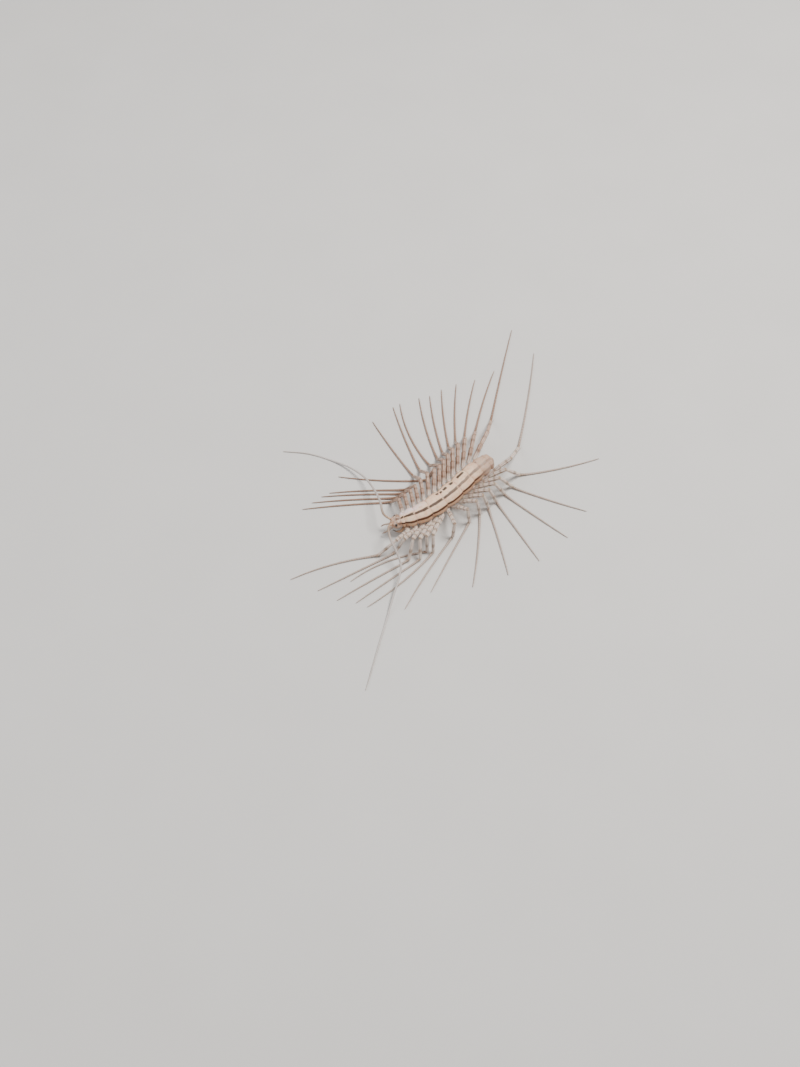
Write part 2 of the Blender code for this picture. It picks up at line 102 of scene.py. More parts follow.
# The stance of chosen legs; the others lie between their neighbours. Each has the femur's angle, reach
# to the knee, knee height, tibia's angle, reach to the ankle, angle at which the tarsus starts, and its
# turn to the tip. Angles are in degrees from straight out sideways, towards the tail.
STANCE_LEFT = {
    1: (-57, 4.3, 3.4, -80, 4.0, -99, 20),
    2: (-56, 4.6, 3.9, -78, 2.2, -81, 0),
    3: (-52, 5.3, 4.3, -42, 2.8, -84, 4),
    4: (-54, 6.2, 4.6, -30, 2.4, -84, 2),
    5: (-56, 6.8, 4.9, -24, 1.0, -118, 34),
    6: (-55, 7.5, 5.0, -34, 1.4, -76, -16),
    7: (-27, 5.5, 4.7, -60, 0.6, -74, 8),
    8: (2, 4.2, 5.0, 20, 0.7, -70, 2),
    9: (15, 4.3, 5.3, 36, 1.0, -48, -8),
    11: (20, 4.6, 5.4, 50, 1.9, -18, 0),
    13: (32, 4.6, 5.6, 66, 3.2, 20, 6),
    14: (48, 4.8, 5.7, 78, 4.0, 54, 12),
    15: (74, 5.6, 5.2, 116, 6.2, 124, 6),
}
STANCE_RIGHT = {
    1: (-4, 2.9, 4.2, -28, 2.2, -76, -6),
    4: (16, 3.8, 5.0, -16, 2.6, -58, -8),
    5: (24, 4.3, 5.2, 16, 4.0, 0, 6),
    6: (32, 4.8, 5.4, 17, 4.0, 14, 8),
    7: (40, 4.8, 5.5, -24, 1.3, -54, 12),
    8: (44, 4.8, 5.6, 14, 3.8, 6, 30),
    9: (46, 5.0, 5.8, 30, 4.0, 25, 14),
    11: (48, 5.6, 6.0, 42, 4.0, 39, 9),
    13: (51, 5.8, 6.1, 50, 4.2, 52, 8),
    14: (58, 6.0, 6.0, 52, 4.6, 56, 8),
    15: (70, 6.8, 5.4, 54, 6.4, 54, 2),
}

# Feelers: their sockets on the straight body, and the points that each bends through to its tip, as
# places in the model before its middle is moved to the origin
ANTENNA_SOCKET = (0.2, 0.5, 4.0)
ANTENNA_LEFT = (
    (-13.7, 0.9, 4.5), (-14.9, -1.6, 4.5), (-15.2, -4.0, 3.5), (-15.9, -6.4, 2.4), (-17.7, -8.3, 1.7),
    (-20.8, -10.7, 1.0), (-24.7, -13.8, 0.16), (-30.5, -18.6, 0.16), (-36.1, -23.3, 0.16),
)
ANTENNA_RIGHT = (
    (-12.6, 4.3, 4.5), (-11.2, 7.6, 4.1), (-10.2, 11.6, 2.9), (-9.8, 15.4, 1.7),
    (-10.6, 19.6, 0.8), (-12.6, 23.8, 0.16), (-15.6, 28.0, 0.16), (-19.6, 31.6, 0.16),
)


# Places on the body

def smoothstep(low, high, values):
    share = np.clip((np.asarray(values, float) - low) / (high - low), 0, 1)
    return share * share * (3 - 2 * share)


def bump(values, width):
    """A rounded hill that is 1 at zero and fades over the width."""
    return np.exp(-((np.asarray(values, float) / width) ** 2))


def spine():
    """Distances along the body, and the middle line's points and headings there."""
    along = np.arange(-CURVE_REACH, sum(TERGITE_LENGTHS) + CURVE_REACH, CURVE_STEP)
    turn = np.radians(np.interp(along, CURVE_AT, CURVE_HEADING))
    halfway = (turn[1:] + turn[:-1]) / 2
    steps = np.stack([np.cos(halfway), np.sin(halfway)], axis=1) * CURVE_STEP
    line = np.vstack([[0, 0], np.cumsum(steps, axis=0)])
    front = [np.interp(0, along, line[:, axis]) for axis in range(2)]
    return along, line - front + FRONT_OF_HEAD, turn


SPINE = spine()


def bent(points):
    """Points of the straight body, moved to where the curved, leaning body has them."""
    points = np.atleast_2d(np.asarray(points, float))
    along, line, turn = SPINE
    heading = np.interp(points[:, 0], along, turn)
    lean = np.radians(np.interp(points[:, 0], LEAN_AT, LEAN))
    above = points[:, 2] - CREST_HEIGHT
    aside = points[:, 1] * np.cos(lean) - above * np.sin(lean)
    x = np.interp(points[:, 0], along, line[:, 0]) - np.sin(heading) * aside
    y = np.interp(points[:, 0], along, line[:, 1]) + np.cos(heading) * aside
    return np.stack([x, y, CREST_HEIGHT + points[:, 1] * np.sin(lean) + above * np.cos(lean)], axis=1)


def half_width(along):
    return np.interp(along, WIDTH_AT, HALF_WIDTH)


def slimmer_neck(along):
    """The share of its full width and height that the body has here: less towards the head."""
    return NECK_SHARE + (1 - NECK_SHARE) * smoothstep(*NECK_AT, along)


def on_side(place, side):
    """A place given for the right side of the straight body, on this side of it."""
    x, y, z = place
    return x, side * y, z


def smooth_line(bends, count):
    """Evenly spread points of a smooth curve through the bends."""
    bends = [np.asarray(point, float) for point in bends]
    ends = [2 * bends[0] - bends[1], *bends, 2 * bends[-1] - bends[-2]]
    points = []
    for place in np.linspace(0, len(bends) - 1, count):
        span = min(int(place), len(bends) - 2)
        t = place - span
        a, b, c, d = ends[span:span + 4]
        rounding = (2 * a - 5 * b + 4 * c - d) * t**2 + (3 * b - a - 3 * c + d) * t**3
        points.append(b + ((c - a) * t + rounding) / 2)
    return np.array(points)


# Modelling

def nothing_selected():
    bpy.ops.object.select_all(action="DESELECT")


def only_selected(piece):
    nothing_selected()
    piece.select_set(True)
    bpy.context.view_layer.objects.active = piece


def points_of(piece):
    places = np.empty(len(piece.data.vertices) * 3, np.float32)
    piece.data.vertices.foreach_get("co", places)
    return places.reshape(-1, 3).astype(float)


def set_points(piece, points):
    piece.data.vertices.foreach_set("co", np.asarray(points, np.float32).ravel())
    piece.data.update()


def mark(piece, name, values):
    """Keeps a number at each point, which the materials read."""
    layer = piece.data.attributes.get(name) or piece.data.attributes.new(name, "FLOAT", "POINT")
    numbers = np.broadcast_to(np.asarray(values, np.float32), len(piece.data.vertices))
    layer.data.foreach_set("value", np.ascontiguousarray(numbers))


def with_modifier(piece, kind, **settings):
    """Adds a modifier with these settings and applies it."""
    only_selected(piece)
    modifier = piece.modifiers.new(kind.title(), kind)
    for setting, value in settings.items():
        setattr(modifier, setting, value)
    bpy.ops.object.modifier_apply(modifier=modifier.name)
    return piece


def joined(pieces):
    nothing_selected()
    for piece in pieces:
        piece.select_set(True)
    bpy.context.view_layer.objects.active = pieces[0]
    bpy.ops.object.join()
    return pieces[0]


def copy_of(piece):
    twin = piece.copy()
    twin.data = piece.data.copy()
    bpy.context.scene.collection.objects.link(twin)
    return twin


def drawn_out(sides, stations):
    """A closed form drawn out along +X ring by ring; a station is a ring's distance and two radii."""
    nothing_selected()
    place, wide, high = stations[0]
    bpy.ops.mesh.primitive_circle_add(
        vertices=sides, radius=1, fill_type="NGON", location=(place, 0, 0), rotation=(0, math.pi / 2, 0))
    bpy.ops.object.transform_apply(location=True, rotation=True, scale=True)
    piece = bpy.context.object
    bpy.ops.object.mode_set(mode="EDIT")
    bpy.ops.mesh.select_all(action="SELECT")
    bpy.ops.transform.resize(value=(1, wide, high), center_override=(place, 0, 0))
    for (before, wide, high), (there, wider, higher) in zip(stations, stations[1:]):
        bpy.ops.mesh.extrude_region_move(TRANSFORM_OT_translate={"value": (there - before, 0, 0)})
        bpy.ops.transform.resize(value=(1, wider / wide, higher / high), center_override=(there, 0, 0))
    bpy.ops.mesh.select_all(action="SELECT")
    bpy.ops.mesh.normals_make_consistent(inside=False)
    bpy.ops.object.mode_set(mode="OBJECT")
    return piece


def round_stations(profile, count):
    """Evenly spread stations of a round form, read from a few distances and radii."""
    places = np.linspace(profile[0][0], profile[-1][0], count)
    radii = np.interp(places, [place for place, _ in profile], [radius for _, radius in profile])
    return [(float(place), float(radius), float(radius)) for place, radius in zip(places, radii)]


def moved(piece, matrix):
    piece.data.transform(matrix)
    return piece


def run_between(piece, start, end, thickness=1.0, length=1.0):
    """Turns and stretches a form drawn out over x = 0 to length, so that it runs from start to end."""
    start, end = Vector(start), Vector(end)
    way = end - start
    flat = Vector((way.x, way.y, 0)).normalized()
    side = Vector((-flat.y, flat.x, 0))
    forward = way.normalized()
    turn = Matrix((forward, side, forward.cross(side))).transposed().to_4x4()
    size = Matrix.Diagonal((way.length / length, thickness, thickness, 1))
    return moved(piece, Matrix.Translation(start) @ turn @ size)


def laid_along(piece, line):
    """Bends a form drawn out over x = 0 to 1 so that it follows the line, its sides in millimetres."""
    points = points_of(piece)
    steps = np.linalg.norm(np.diff(line, axis=0), axis=1)
    shares = np.concatenate([[0], np.cumsum(steps)]) / steps.sum()
    forward = np.gradient(line, shares, axis=0)
    forward /= np.linalg.norm(forward, axis=1)[:, None]
    sides = [np.cross((0, 0, 1), forward[0])]
    for way in forward[1:]:
        sides.append(sides[-1] - way * (sides[-1] @ way))
    sides = np.array([side / np.linalg.norm(side) for side in sides])
    ups = np.cross(forward, sides)

    def spot(values):
        return np.stack([np.interp(points[:, 0], shares, values[:, axis]) for axis in range(3)], axis=1)

    set_points(piece, spot(line) + spot(sides) * points[:, 1:2] + spot(ups) * points[:, 2:3])
    return piece


# A direction that no hair points in, so that its cross product with any hair's lies across the hair
ACROSS_HAIRS = (0.31, 0.52, 0.79)


def bristles(roots, ways, lengths, width):
    """Fine pointed hairs, copies of one slender cone, planted at the roots."""
    nothing_selected()
    bpy.ops.mesh.primitive_cone_add(vertices=3, radius1=width, radius2=0, depth=1, location=(0, 0, 0.5))
    hair = bpy.context.object
    bpy.ops.object.transform_apply(location=True, rotation=False, scale=False)
    shape = points_of(hair)
    faces = np.array([list(face.vertices) for face in hair.data.polygons])
    bpy.data.objects.remove(hair)
    ways = np.asarray(ways, float)
    ways = ways / np.linalg.norm(ways, axis=1)[:, None]
    aside = np.cross(ways, ACROSS_HAIRS)
    aside /= np.linalg.norm(aside, axis=1)[:, None]
    across = np.cross(ways, aside)
    lengths = np.broadcast_to(np.asarray(lengths, float), len(ways))
    points = (np.asarray(roots)[:, None] + shape[None, :, :1] * aside[:, None]
              + shape[None, :, 1:2] * across[:, None]
              + shape[None, :, 2:] * (ways * lengths[:, None])[:, None])
    all_faces = faces[None] + (np.arange(len(ways)) * len(shape))[:, None, None]
    mesh = bpy.data.meshes.new("bristles")
    mesh.from_pydata(points.reshape(-1, 3).tolist(), [], all_faces.reshape(-1, 3).tolist())
    piece = bpy.data.objects.new("bristles", mesh)
    bpy.context.scene.collection.objects.link(piece)
    return piece


def finished(piece, name, finish, nodes):
    """Makes a piece metres, smooth and dressed, and gives it its place in the model."""
    moved(piece, Matrix.Scale(TO_METRES, 4))
    piece.name = name
    piece.data.name = name
    piece.data.materials.clear()
    piece.data.materials.append(finish)
    only_selected(piece)
    bpy.ops.object.shade_smooth_by_angle(angle=SHARP)
    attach(piece, "root")
    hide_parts(*nodes)


# Finishes

def linear(red, green, blue):
    """A colour as a material takes it, from the usual 0 to 255 values."""
    values = [value / 255 for value in (red, green, blue)]
    return (*[v / 12.92 if v <= 0.04045 else ((v + 0.055) / 1.055) ** 2.4 for v in values], 1)


class Finish:
    """A material under construction, with short calls for its nodes."""

    def __init__(self, name, roughness, **sockets):
        self.material = bpy.data.materials.new(name)
        self.material.use_nodes = True
        self.tree = self.material.node_tree
        self.shader = self.tree.nodes["Principled BSDF"]
        self.shader.inputs["Roughness"].default_value = roughness
        for socket, value in sockets.items():
            self.shader.inputs[socket.replace("_", " ")].default_value = value
        self.place = self.tree.nodes.new("ShaderNodeTexCoord").outputs["Object"]

    def put(self, node, inputs):
        for key, value in inputs.items():
            socket = node.inputs[key]
            if isinstance(value, bpy.types.NodeSocket):
                self.tree.links.new(value, socket)
            else:
                socket.default_value = value
        return node

    def number(self, name):
        node = self.tree.nodes.new("ShaderNodeAttribute")
        node.attribute_name = name
        return node.outputs["Fac"]

    def maths(self, operation, first, second=0.0, third=0.0):
        node = self.tree.nodes.new("ShaderNodeMath")
        node.operation = operation
        return self.put(node, {0: first, 1: second, 2: third}).outputs[0]

    def times(self, value, *others):
        for other in others:
            value = self.maths("MULTIPLY", value, other)
        return value

    def between(self, value, low, high, to_low=0.0, to_high=1.0):
        """Turns low to high smoothly into to_low to to_high; low may be the larger one."""
        node = self.tree.nodes.new("ShaderNodeMapRange")
        node.interpolation_type = "SMOOTHSTEP"
        settings = {"Value": value, "From Min": low, "From Max": high, "To Min": to_low, "To Max": to_high}
        return self.put(node, settings).outputs["Result"]

    def noise(self, per_mm, detail=2.0, roughness=0.5):
        node = self.tree.nodes.new("ShaderNodeTexNoise")
        scale = per_mm / TO_METRES
        settings = {"Vector": self.place, "Scale": scale, "Detail": detail, "Roughness": roughness}
        return self.put(node, settings).outputs["Fac"]

    def wander(self, width, per_mm, detail=2.0, roughness=0.5):
        """A number that wanders about zero by this width in all."""
        return self.maths("MULTIPLY_ADD", self.noise(per_mm, detail, roughness), width, -width / 2)

    def cells(self, per_mm):
        node = self.tree.nodes.new("ShaderNodeTexVoronoi")
        return self.put(node, {"Vector": self.place, "Scale": per_mm / TO_METRES}).outputs["Distance"]

    def ramp(self, value, stops):
        node = self.tree.nodes.new("ShaderNodeValToRGB")
        elements = node.color_ramp.elements
        while len(elements) < len(stops):
            elements.new(0.5)
        for element, (position, colour) in zip(elements, stops):
            element.position = position
            element.color = colour
        return self.put(node, {"Fac": value}).outputs["Color"]

    def mix(self, share, first, second, blend="MIX"):
        """A colour between two; a mix node takes them at its sockets 6 and 7 and gives it at 2."""
        node = self.tree.nodes.new("ShaderNodeMix")
        node.data_type = "RGBA"
        node.blend_type = blend
        return self.put(node, {0: share, 6: first, 7: second}).outputs[2]

    def colour(self, value):
        self.tree.links.new(value, self.shader.inputs["Base Color"])

    def roughness(self, value):
        self.tree.links.new(value, self.shader.inputs["Roughness"])

    def relief(self, height, depth_mm, strength):
        node = self.tree.nodes.new("ShaderNodeBump")
        settings = {"Height": height, "Distance": depth_mm * TO_METRES, "Strength": strength}
        self.tree.links.new(self.put(node, settings).outputs["Normal"], self.shader.inputs["Normal"])


# Colours of the shell and its markings
PALE = linear(241, 206, 177)
LILAC = linear(240, 218, 222)
BROWN = linear(82, 54, 38)
GREY_BROWN = linear(108, 88, 75)
SLATE = linear(64, 44, 34)
TAN = linear(204, 166, 136)
REAR = linear(184, 158, 142)
DARK = linear(50, 37, 30)
CREAM = linear(222, 206, 194)
JOINT = linear(160, 136, 116)
RUST = linear(142, 106, 84)
WHIP = linear(186, 168, 156)
BAND = linear(170, 148, 132)
CLOUDY = linear(238, 226, 214)
# The tint of the painted shade on the right legs
SHADE_TINT = linear(214, 184, 164)

# The stripes across the back, as colours at shares of the way from its left edge to its right one
STRIPES = (
    (0.0, RUST), (0.04, TAN), (0.14, TAN), (0.17, BROWN), (0.236, BROWN), (0.268, PALE),
    (0.88, PALE), (0.95, TAN), (1.0, RUST),
)

# Where each marking starts to show and where it shows in full: the middle stripe by its distance from
# the middle, and from a plate's front and rear; the broken right stripe from both its sides; lilac and
# the greyer rear by their places along the body and across the back
MIDDLE_STRIPE = (0.062, 0.038)
MIDDLE_STRIPE_FRONT, MIDDLE_STRIPE_REAR = (0.02, 0.13), (1.02, 0.93)
RIGHT_STRIPE_INNER, RIGHT_STRIPE_OUTER = (0.685, 0.745), (0.85, 0.79)
LILAC_ALONG, LILAC_ACROSS = (9.5, 4.0), (0.53, 0.72)
REAR_ALONG = (20.0, 24.0)

# The right stripe's dashes: where each begins and ends along the body, how far past that it has faded
# out, and how far inside it is full
DASHES = ((8.2, 8.5), (11.0, 11.4), (12.1, 12.6), (13.1, 13.9), (14.9, 15.6), (17.4, 19.0), (22.4, 23.0))
DASHES_REACH = 27.0
DASH_OUT = 0.22
DASH_FULL = 0.05


def dash_levels():
    """Stops of a ramp along the body: white in the dashes and black between them."""
    levels = [(0.0, 0)]
    for first, last in DASHES:
        levels += [(first - DASH_OUT, 0), (first + DASH_FULL, 1), (last - DASH_FULL, 1), (last + DASH_OUT, 0)]
    return [(place / DASHES_REACH, (level, level, level, 1)) for place, level in levels]


def plate_finish():
    """Horny back plate: pale, with a brown, a dark and a broken stripe, tan margins and freckles, and painted
    shade at its front and rear edges.
    """
    finish = Finish("plate_finish", 0.5, Specular_IOR_Level=0.3, Subsurface_Weight=0.12,
                    Subsurface_Scale=0.3 * TO_METRES)
    across, along, back = finish.number("across"), finish.number("along"), finish.number("back")
    share = finish.maths("MULTIPLY_ADD", finish.maths("ADD", across, finish.wander(0.1, 0.8, 3.0)), 0.5, 0.5)
    plate = finish.ramp(share, STRIPES)

    from_middle = finish.maths("ABSOLUTE", finish.maths("SUBTRACT", share, 0.5))
    ragged = finish.maths("ADD", from_middle, finish.wander(0.03, 3.5, 3.0, 0.6))
    middle = finish.times(
        finish.between(ragged, *MIDDLE_STRIPE), finish.between(back, *MIDDLE_STRIPE_FRONT),
        finish.between(back, *MIDDLE_STRIPE_REAR), finish.between(along, 11.0, 20.0, 0.95, 0.75))
    plate = finish.mix(middle, plate, SLATE)

    dashes = finish.times(
        finish.between(share, *RIGHT_STRIPE_INNER), finish.between(share, *RIGHT_STRIPE_OUTER),
        finish.ramp(finish.maths("DIVIDE", along, DASHES_REACH), dash_levels()))
    blots = finish.maths("ADD", dashes, finish.wander(1.0, 3.5, 4.0, 0.65))
    plate = finish.mix(finish.times(finish.between(blots, 0.28, 0.6), 0.92), plate, DARK)

    lilac = finish.times(finish.between(along, *LILAC_ALONG), finish.between(share, *LILAC_ACROSS), 0.85)
    plate = finish.mix(lilac, plate, LILAC)
    plate = finish.mix(finish.between(along, *REAR_ALONG, 0.0, 0.72), plate, REAR)
    clouds = finish.times(finish.between(finish.noise(1.3, 4.0, 0.6), 0.45, 0.7), 0.9)
    plate = finish.mix(clouds, plate, CLOUDY, "MULTIPLY")
    freckles = finish.times(finish.between(finish.noise(6.0, 4.0, 0.7), 0.54, 0.7), 0.45)
    plate = finish.mix(freckles, plate, GREY_BROWN)
    # Painted shade along the overlaps: each plate darkens halfway to RUST at its front edge, which lies under
    # the plate before it, and at its rear edge.
    edges = finish.maths("MAXIMUM", finish.between(back, 0.95, 1.0), finish.between(back, 0.1, 0.0))
    finish.colour(finish.mix(finish.times(edges, 0.5), plate, RUST))
    finish.roughness(finish.between(finish.noise(3.0), 0.2, 0.8, 0.42, 0.58))
    finish.relief(finish.cells(9.0), 0.018, 0.45)
    return finish.material


def skin_finish():
    """Joint skin: duller and browner than the plates on the flanks, paler on belly and coxae, wrinkled."""
    finish = Finish("skin_finish", 0.6, Specular_IOR_Level=0.35, Subsurface_Weight=0.15,
                    Subsurface_Scale=0.4 * TO_METRES)
    outward, girth = finish.number("outward"), finish.number("girth")
    flank = finish.ramp(finish.noise(2.2, 4.0, 0.6), [
        (0.3, linear(148, 116, 92)), (0.5, linear(188, 160, 138)), (0.7, linear(214, 194, 176))])
    belly = finish.mix(finish.between(girth, -0.4, -0.8), flank, linear(206, 184, 160))
    coxae = finish.mix(finish.noise(5.0), linear(232, 216, 204), linear(198, 172, 154))
    finish.colour(finish.mix(finish.between(outward, 1.12, 1.4), belly, coxae))
    finish.relief(finish.noise(14.0, 3.0), 0.03, 0.7)
    return finish.material


def head_finish():
    """Head shell: marbled tan and brown, with a dark middle line and one on each side of it."""
    finish = Finish("head_finish", 0.38, Specular_IOR_Level=0.5, Subsurface_Weight=0.1,
                    Subsurface_Scale=0.3 * TO_METRES)
    across, along = finish.number("across"), finish.number("along")
    marbling = finish.ramp(finish.noise(1.6, 5.0, 0.65), [
        (0.32, linear(126, 90, 70)), (0.47, linear(180, 146, 124)), (0.62, linear(208, 184, 168))])
    from_middle = finish.maths("ABSOLUTE", finish.maths("ADD", across, finish.wander(0.3, 2.0)))
    from_beside = finish.maths("ABSOLUTE", finish.maths("SUBTRACT", from_middle, 0.66))
    middle = finish.times(finish.between(from_middle, 0.22, 0.08), finish.between(along, 0.5, 1.3))
    beside = finish.times(finish.between(from_beside, 0.16, 0.06), finish.between(along, 0.9, 1.6))
    lines = finish.times(finish.maths("MAXIMUM", middle, beside), 0.75)
    front = finish.times(finish.between(along, 0.9, 0.2), 0.6)
    shell = finish.mix(front, marbling, linear(190, 140, 104))
    finish.colour(finish.mix(lines, shell, BROWN))
    finish.relief(finish.cells(10.0), 0.02, 0.5)
    return finish.material


# Colours along a leg, at shares of each of its three long segments and of its tarsus
SEGMENT_COLOURS = (
    (0.1, CREAM), (0.45, CREAM), (0.55, BAND), (0.625, BAND), (0.725, CREAM), (0.93, CREAM), (0.99, JOINT),
)
TARSUS_COLOURS = ((0.075, WHIP), (1.0, linear(184, 166, 154)))
LEG_PARTS = (SEGMENT_COLOURS, SEGMENT_COLOURS, SEGMENT_COLOURS, TARSUS_COLOURS)


def leg_finish():
    """Ridged leg shell, pale with faint darker bands, painted shade in the grooves of its segments and darker
    rings on the tarsus; the right legs carry painted shade, warmer and darker than the left.
    """
    finish = Finish("leg_finish", 0.4, Specular_IOR_Level=0.45, Subsurface_Weight=0.08,
                    Subsurface_Scale=0.25 * TO_METRES)
    stretch, side_shade, groove = finish.number("stretch"), finish.number("side_shade"), finish.number("groove")
    stops = [((part + place) / len(LEG_PARTS), colour)
             for part, colours in enumerate(LEG_PARTS) for place, colour in colours]
    share = finish.maths("DIVIDE", finish.maths("ADD", stretch, finish.wander(0.12, 1.5)), len(LEG_PARTS))
    # Painted shade in the grooves between the ridges of the long segments; on the tarsus the same mark
    # darkens the rings' joints, the hairs and the claw.
    shaded_grooves_and_joints = finish.mix(finish.times(groove, 0.6), finish.ramp(share, stops), GREY_BROWN)
    freckles = finish.times(finish.between(finish.noise(5.0, 4.0, 0.7), 0.5, 0.7), 0.3)
    freckled = finish.mix(freckles, shaded_grooves_and_joints, GREY_BROWN)
    # Painted shade on the right legs: their colour is multiplied by a warm brown from partway along the
    # prefemur on, so they look warmer and darker than the left ones.
    side_shading = finish.times(side_shade, finish.between(stretch, 0.1, 0.8))
    finish.colour(finish.mix(side_shading, freckled, SHADE_TINT, "MULTIPLY"))
    finish.relief(finish.noise(16.0, 3.0), 0.02, 0.5)
    return finish.material


def antenna_finish():
    """Ringed feeler: tan at the base, paler and greyer towards its tip, each ring darker at its edge."""
    finish = Finish("antenna_finish", 0.45, Specular_IOR_Level=0.4)
    stretch, ring = finish.number("stretch"), finish.number("ring")
    shade = finish.ramp(stretch, [(0.0, TAN), (0.05, JOINT), (0.14, linear(196, 184, 176)),
                                  (0.6, linear(210, 204, 200)), (1.0, linear(198, 188, 180))])
    finish.colour(finish.mix(finish.times(ring, 0.45), shade, GREY_BROWN))
    finish.relief(finish.noise(18.0), 0.01, 0.4)
    return finish.material


def mouthpart_finish(name, base, tip, roughness):
    """Mouthpart shell, darkening to its tip."""
    finish = Finish(name, roughness, Specular_IOR_Level=0.5)
    shade = finish.ramp(finish.number("stretch"), [(0.0, base), (0.62, base), (0.86, tip), (1.0, tip)])
    finish.colour(finish.mix(finish.times(finish.noise(6.0, 3.0), 0.4), shade, RUST))
    finish.relief(finish.noise(12.0, 3.0), 0.015, 0.5)
    return finish.material


def eye_finish():
    """Compound eye: near-black brown lenses under a hard gloss, with a faint paler bloom."""
    finish = Finish("eye_finish", 0.18, Specular_IOR_Level=0.6, Coat_Weight=0.5, Coat_Roughness=0.08)
    bloom = finish.between(finish.noise(2.5), 0.4, 0.7)
    finish.colour(finish.mix(bloom, linear(22, 17, 15), linear(64, 50, 42)))
    return finish.material


# Trunk

SLEEVE_SIDES = 48
SLEEVE_STEP = 0.5
NECK_STATIONS = ((1.7, 0.7, 0.6), (2.2, 1.0, 0.9))
TAIL_PROFILE = ((0.15, 1.14), (0.5, 0.96), (0.8, 0.74), (1.0, 0.42))
COXA_PROFILE = ((0, 0.66), (0.35, 0.67), (0.6, 0.62), (0.8, 0.54), (0.94, 0.48), (1.0, 0.38))
COXA_ROOT_INWARDS, COXA_ROOT_RISE = 0.75, 0.12
LOBE_PROFILE = ((0, 0.12), (0.25, 0.24), (0.6, 0.24), (0.85, 0.16), (1.0, 0.06))
LOBE_START, LOBE_END = (-0.2, 0.36, -0.5), (1.05, 0.42, -0.7)
SKIN_VOXEL = 0.085

# Relief of the skin: plates on the belly, dips between the legs, and furrows along the flanks, each
# with its height round the girth, width and depth
BELLY_PLATE_PROUD = 0.07
LEG_DIP_DEPTH, LEG_DIP_WIDTH = 0.12, 0.13
FURROWS = ((-0.62, 0.06, 0.05), (0.1, 0.05, 0.03))

# Back plates: how they stand off the flesh, rise to the rear, swell and reach out past the flanks. One
# that is shorter than FULL_SIZE_FROM has its rise, corners and notch in proportion.
PLATE_CELLS = (36, 56)
PLATE_REACH = math.radians(80)
PLATE_THICKNESS = 0.12
PLATE_EDGE = 0.035
PLATE_PROUD = 0.22
PLATE_RISE = 0.28
PLATE_SWELL = 0.07
PLATE_WIDER = 0.42
PLATE_WIDEST_AT = 0.68
PLATE_OVERLAP, LAST_OVERLAP = 0.42, 0.1
FULL_SIZE_FROM = 2.0
FRONT_CORNER, REAR_CORNER = 0.3, 0.36
SIDE_RIM, REAR_RIM = 0.05, 0.04
FRONT_GROOVE = 0.035
SADDLE_RISE, SADDLE_WIDTH = 0.12, math.radians(15)
STOMA_DEPTH, STOMA_WIDTH = 0.42, math.radians(11)

# The narrow collar in front of the first plate: its start, end and overlap
COLLAR = (2.05, 2.75, 0.1)

# Stiff hairs on a plate's edges: how many on a side and along the rear, and their length and width
SIDE_HAIRS, REAR_HAIRS = 9, 25
EDGE_HAIR = (0.24, 0.022)


def coxa_ends(number, side):
    """A leg's hip and the end of its coxa, on the straight body."""
    along = FIRST_LEG + (number - 1) * LEG_SPACING
    out = float(half_width(along)) * FLANK + FLANK_GAP
    hip = Vector((along, side * out, LEG_ROOT_HEIGHT))
    return hip, hip + Vector((0, side * COXA_LENGTH, COXA_RISE))


def leg_thickness(number):
    return float(np.interp(number, LEG_THICKNESS_AT, LEG_THICKNESS))


def flesh_sleeve():
    """The trunk's flesh from the neck into the tail, as one closed form."""
    stations = list(NECK_STATIONS)
    for along in np.arange(HEAD_LENGTH, TAIL_START, SLEEVE_STEP):
        share = FLESH_SHARE * float(slimmer_neck(along))
        stations.append((float(along), float(half_width(along)) * share, TRUNK_HALF_HEIGHT * share))
    stations += [(TAIL_START + past, radius, radius) for past, radius in TAIL_PROFILE]
    sleeve = drawn_out(SLEEVE_SIDES, stations)
    points = points_of(sleeve)
    points[:, 2] *= np.where(points[:, 2] < 0, BELLY_FLATNESS, 1)
    points[:, 2] += TRUNK_MIDDLE
    set_points(sleeve, points)
    return sleeve


def coxa(number, side):
    """A leg's short first piece, swollen where it leaves the flank."""
    hip, end = coxa_ends(number, side)
    piece = drawn_out(20, round_stations(COXA_PROFILE, 14))
    root = Vector((hip.x, hip.y - side * COXA_ROOT_INWARDS, hip.z + COXA_ROOT_RISE))
    return run_between(piece, root, end, leg_thickness(number))


def tail_lobe(side):
    """One of the two small lobes under the tail's end."""
    piece = drawn_out(14, round_stations(LOBE_PROFILE, 10))
    ends = [(TAIL_START + x, side * y, TRUNK_MIDDLE + z) for x, y, z in (LOBE_START, LOBE_END)]
    return run_between(piece, *ends)


def body_places(points):
    """How far out each point is against the flesh, and its height round the girth, from -1 to 1."""
    width = half_width(points[:, 0]) * FLESH_SHARE
    up = points[:, 2] - TRUNK_MIDDLE
    height = TRUNK_HALF_HEIGHT * FLESH_SHARE * np.where(up < 0, BELLY_FLATNESS, 1)
    outward = np.hypot(points[:, 1] / width, up / height)
    return outward, up / height / np.maximum(outward, 1e-6)


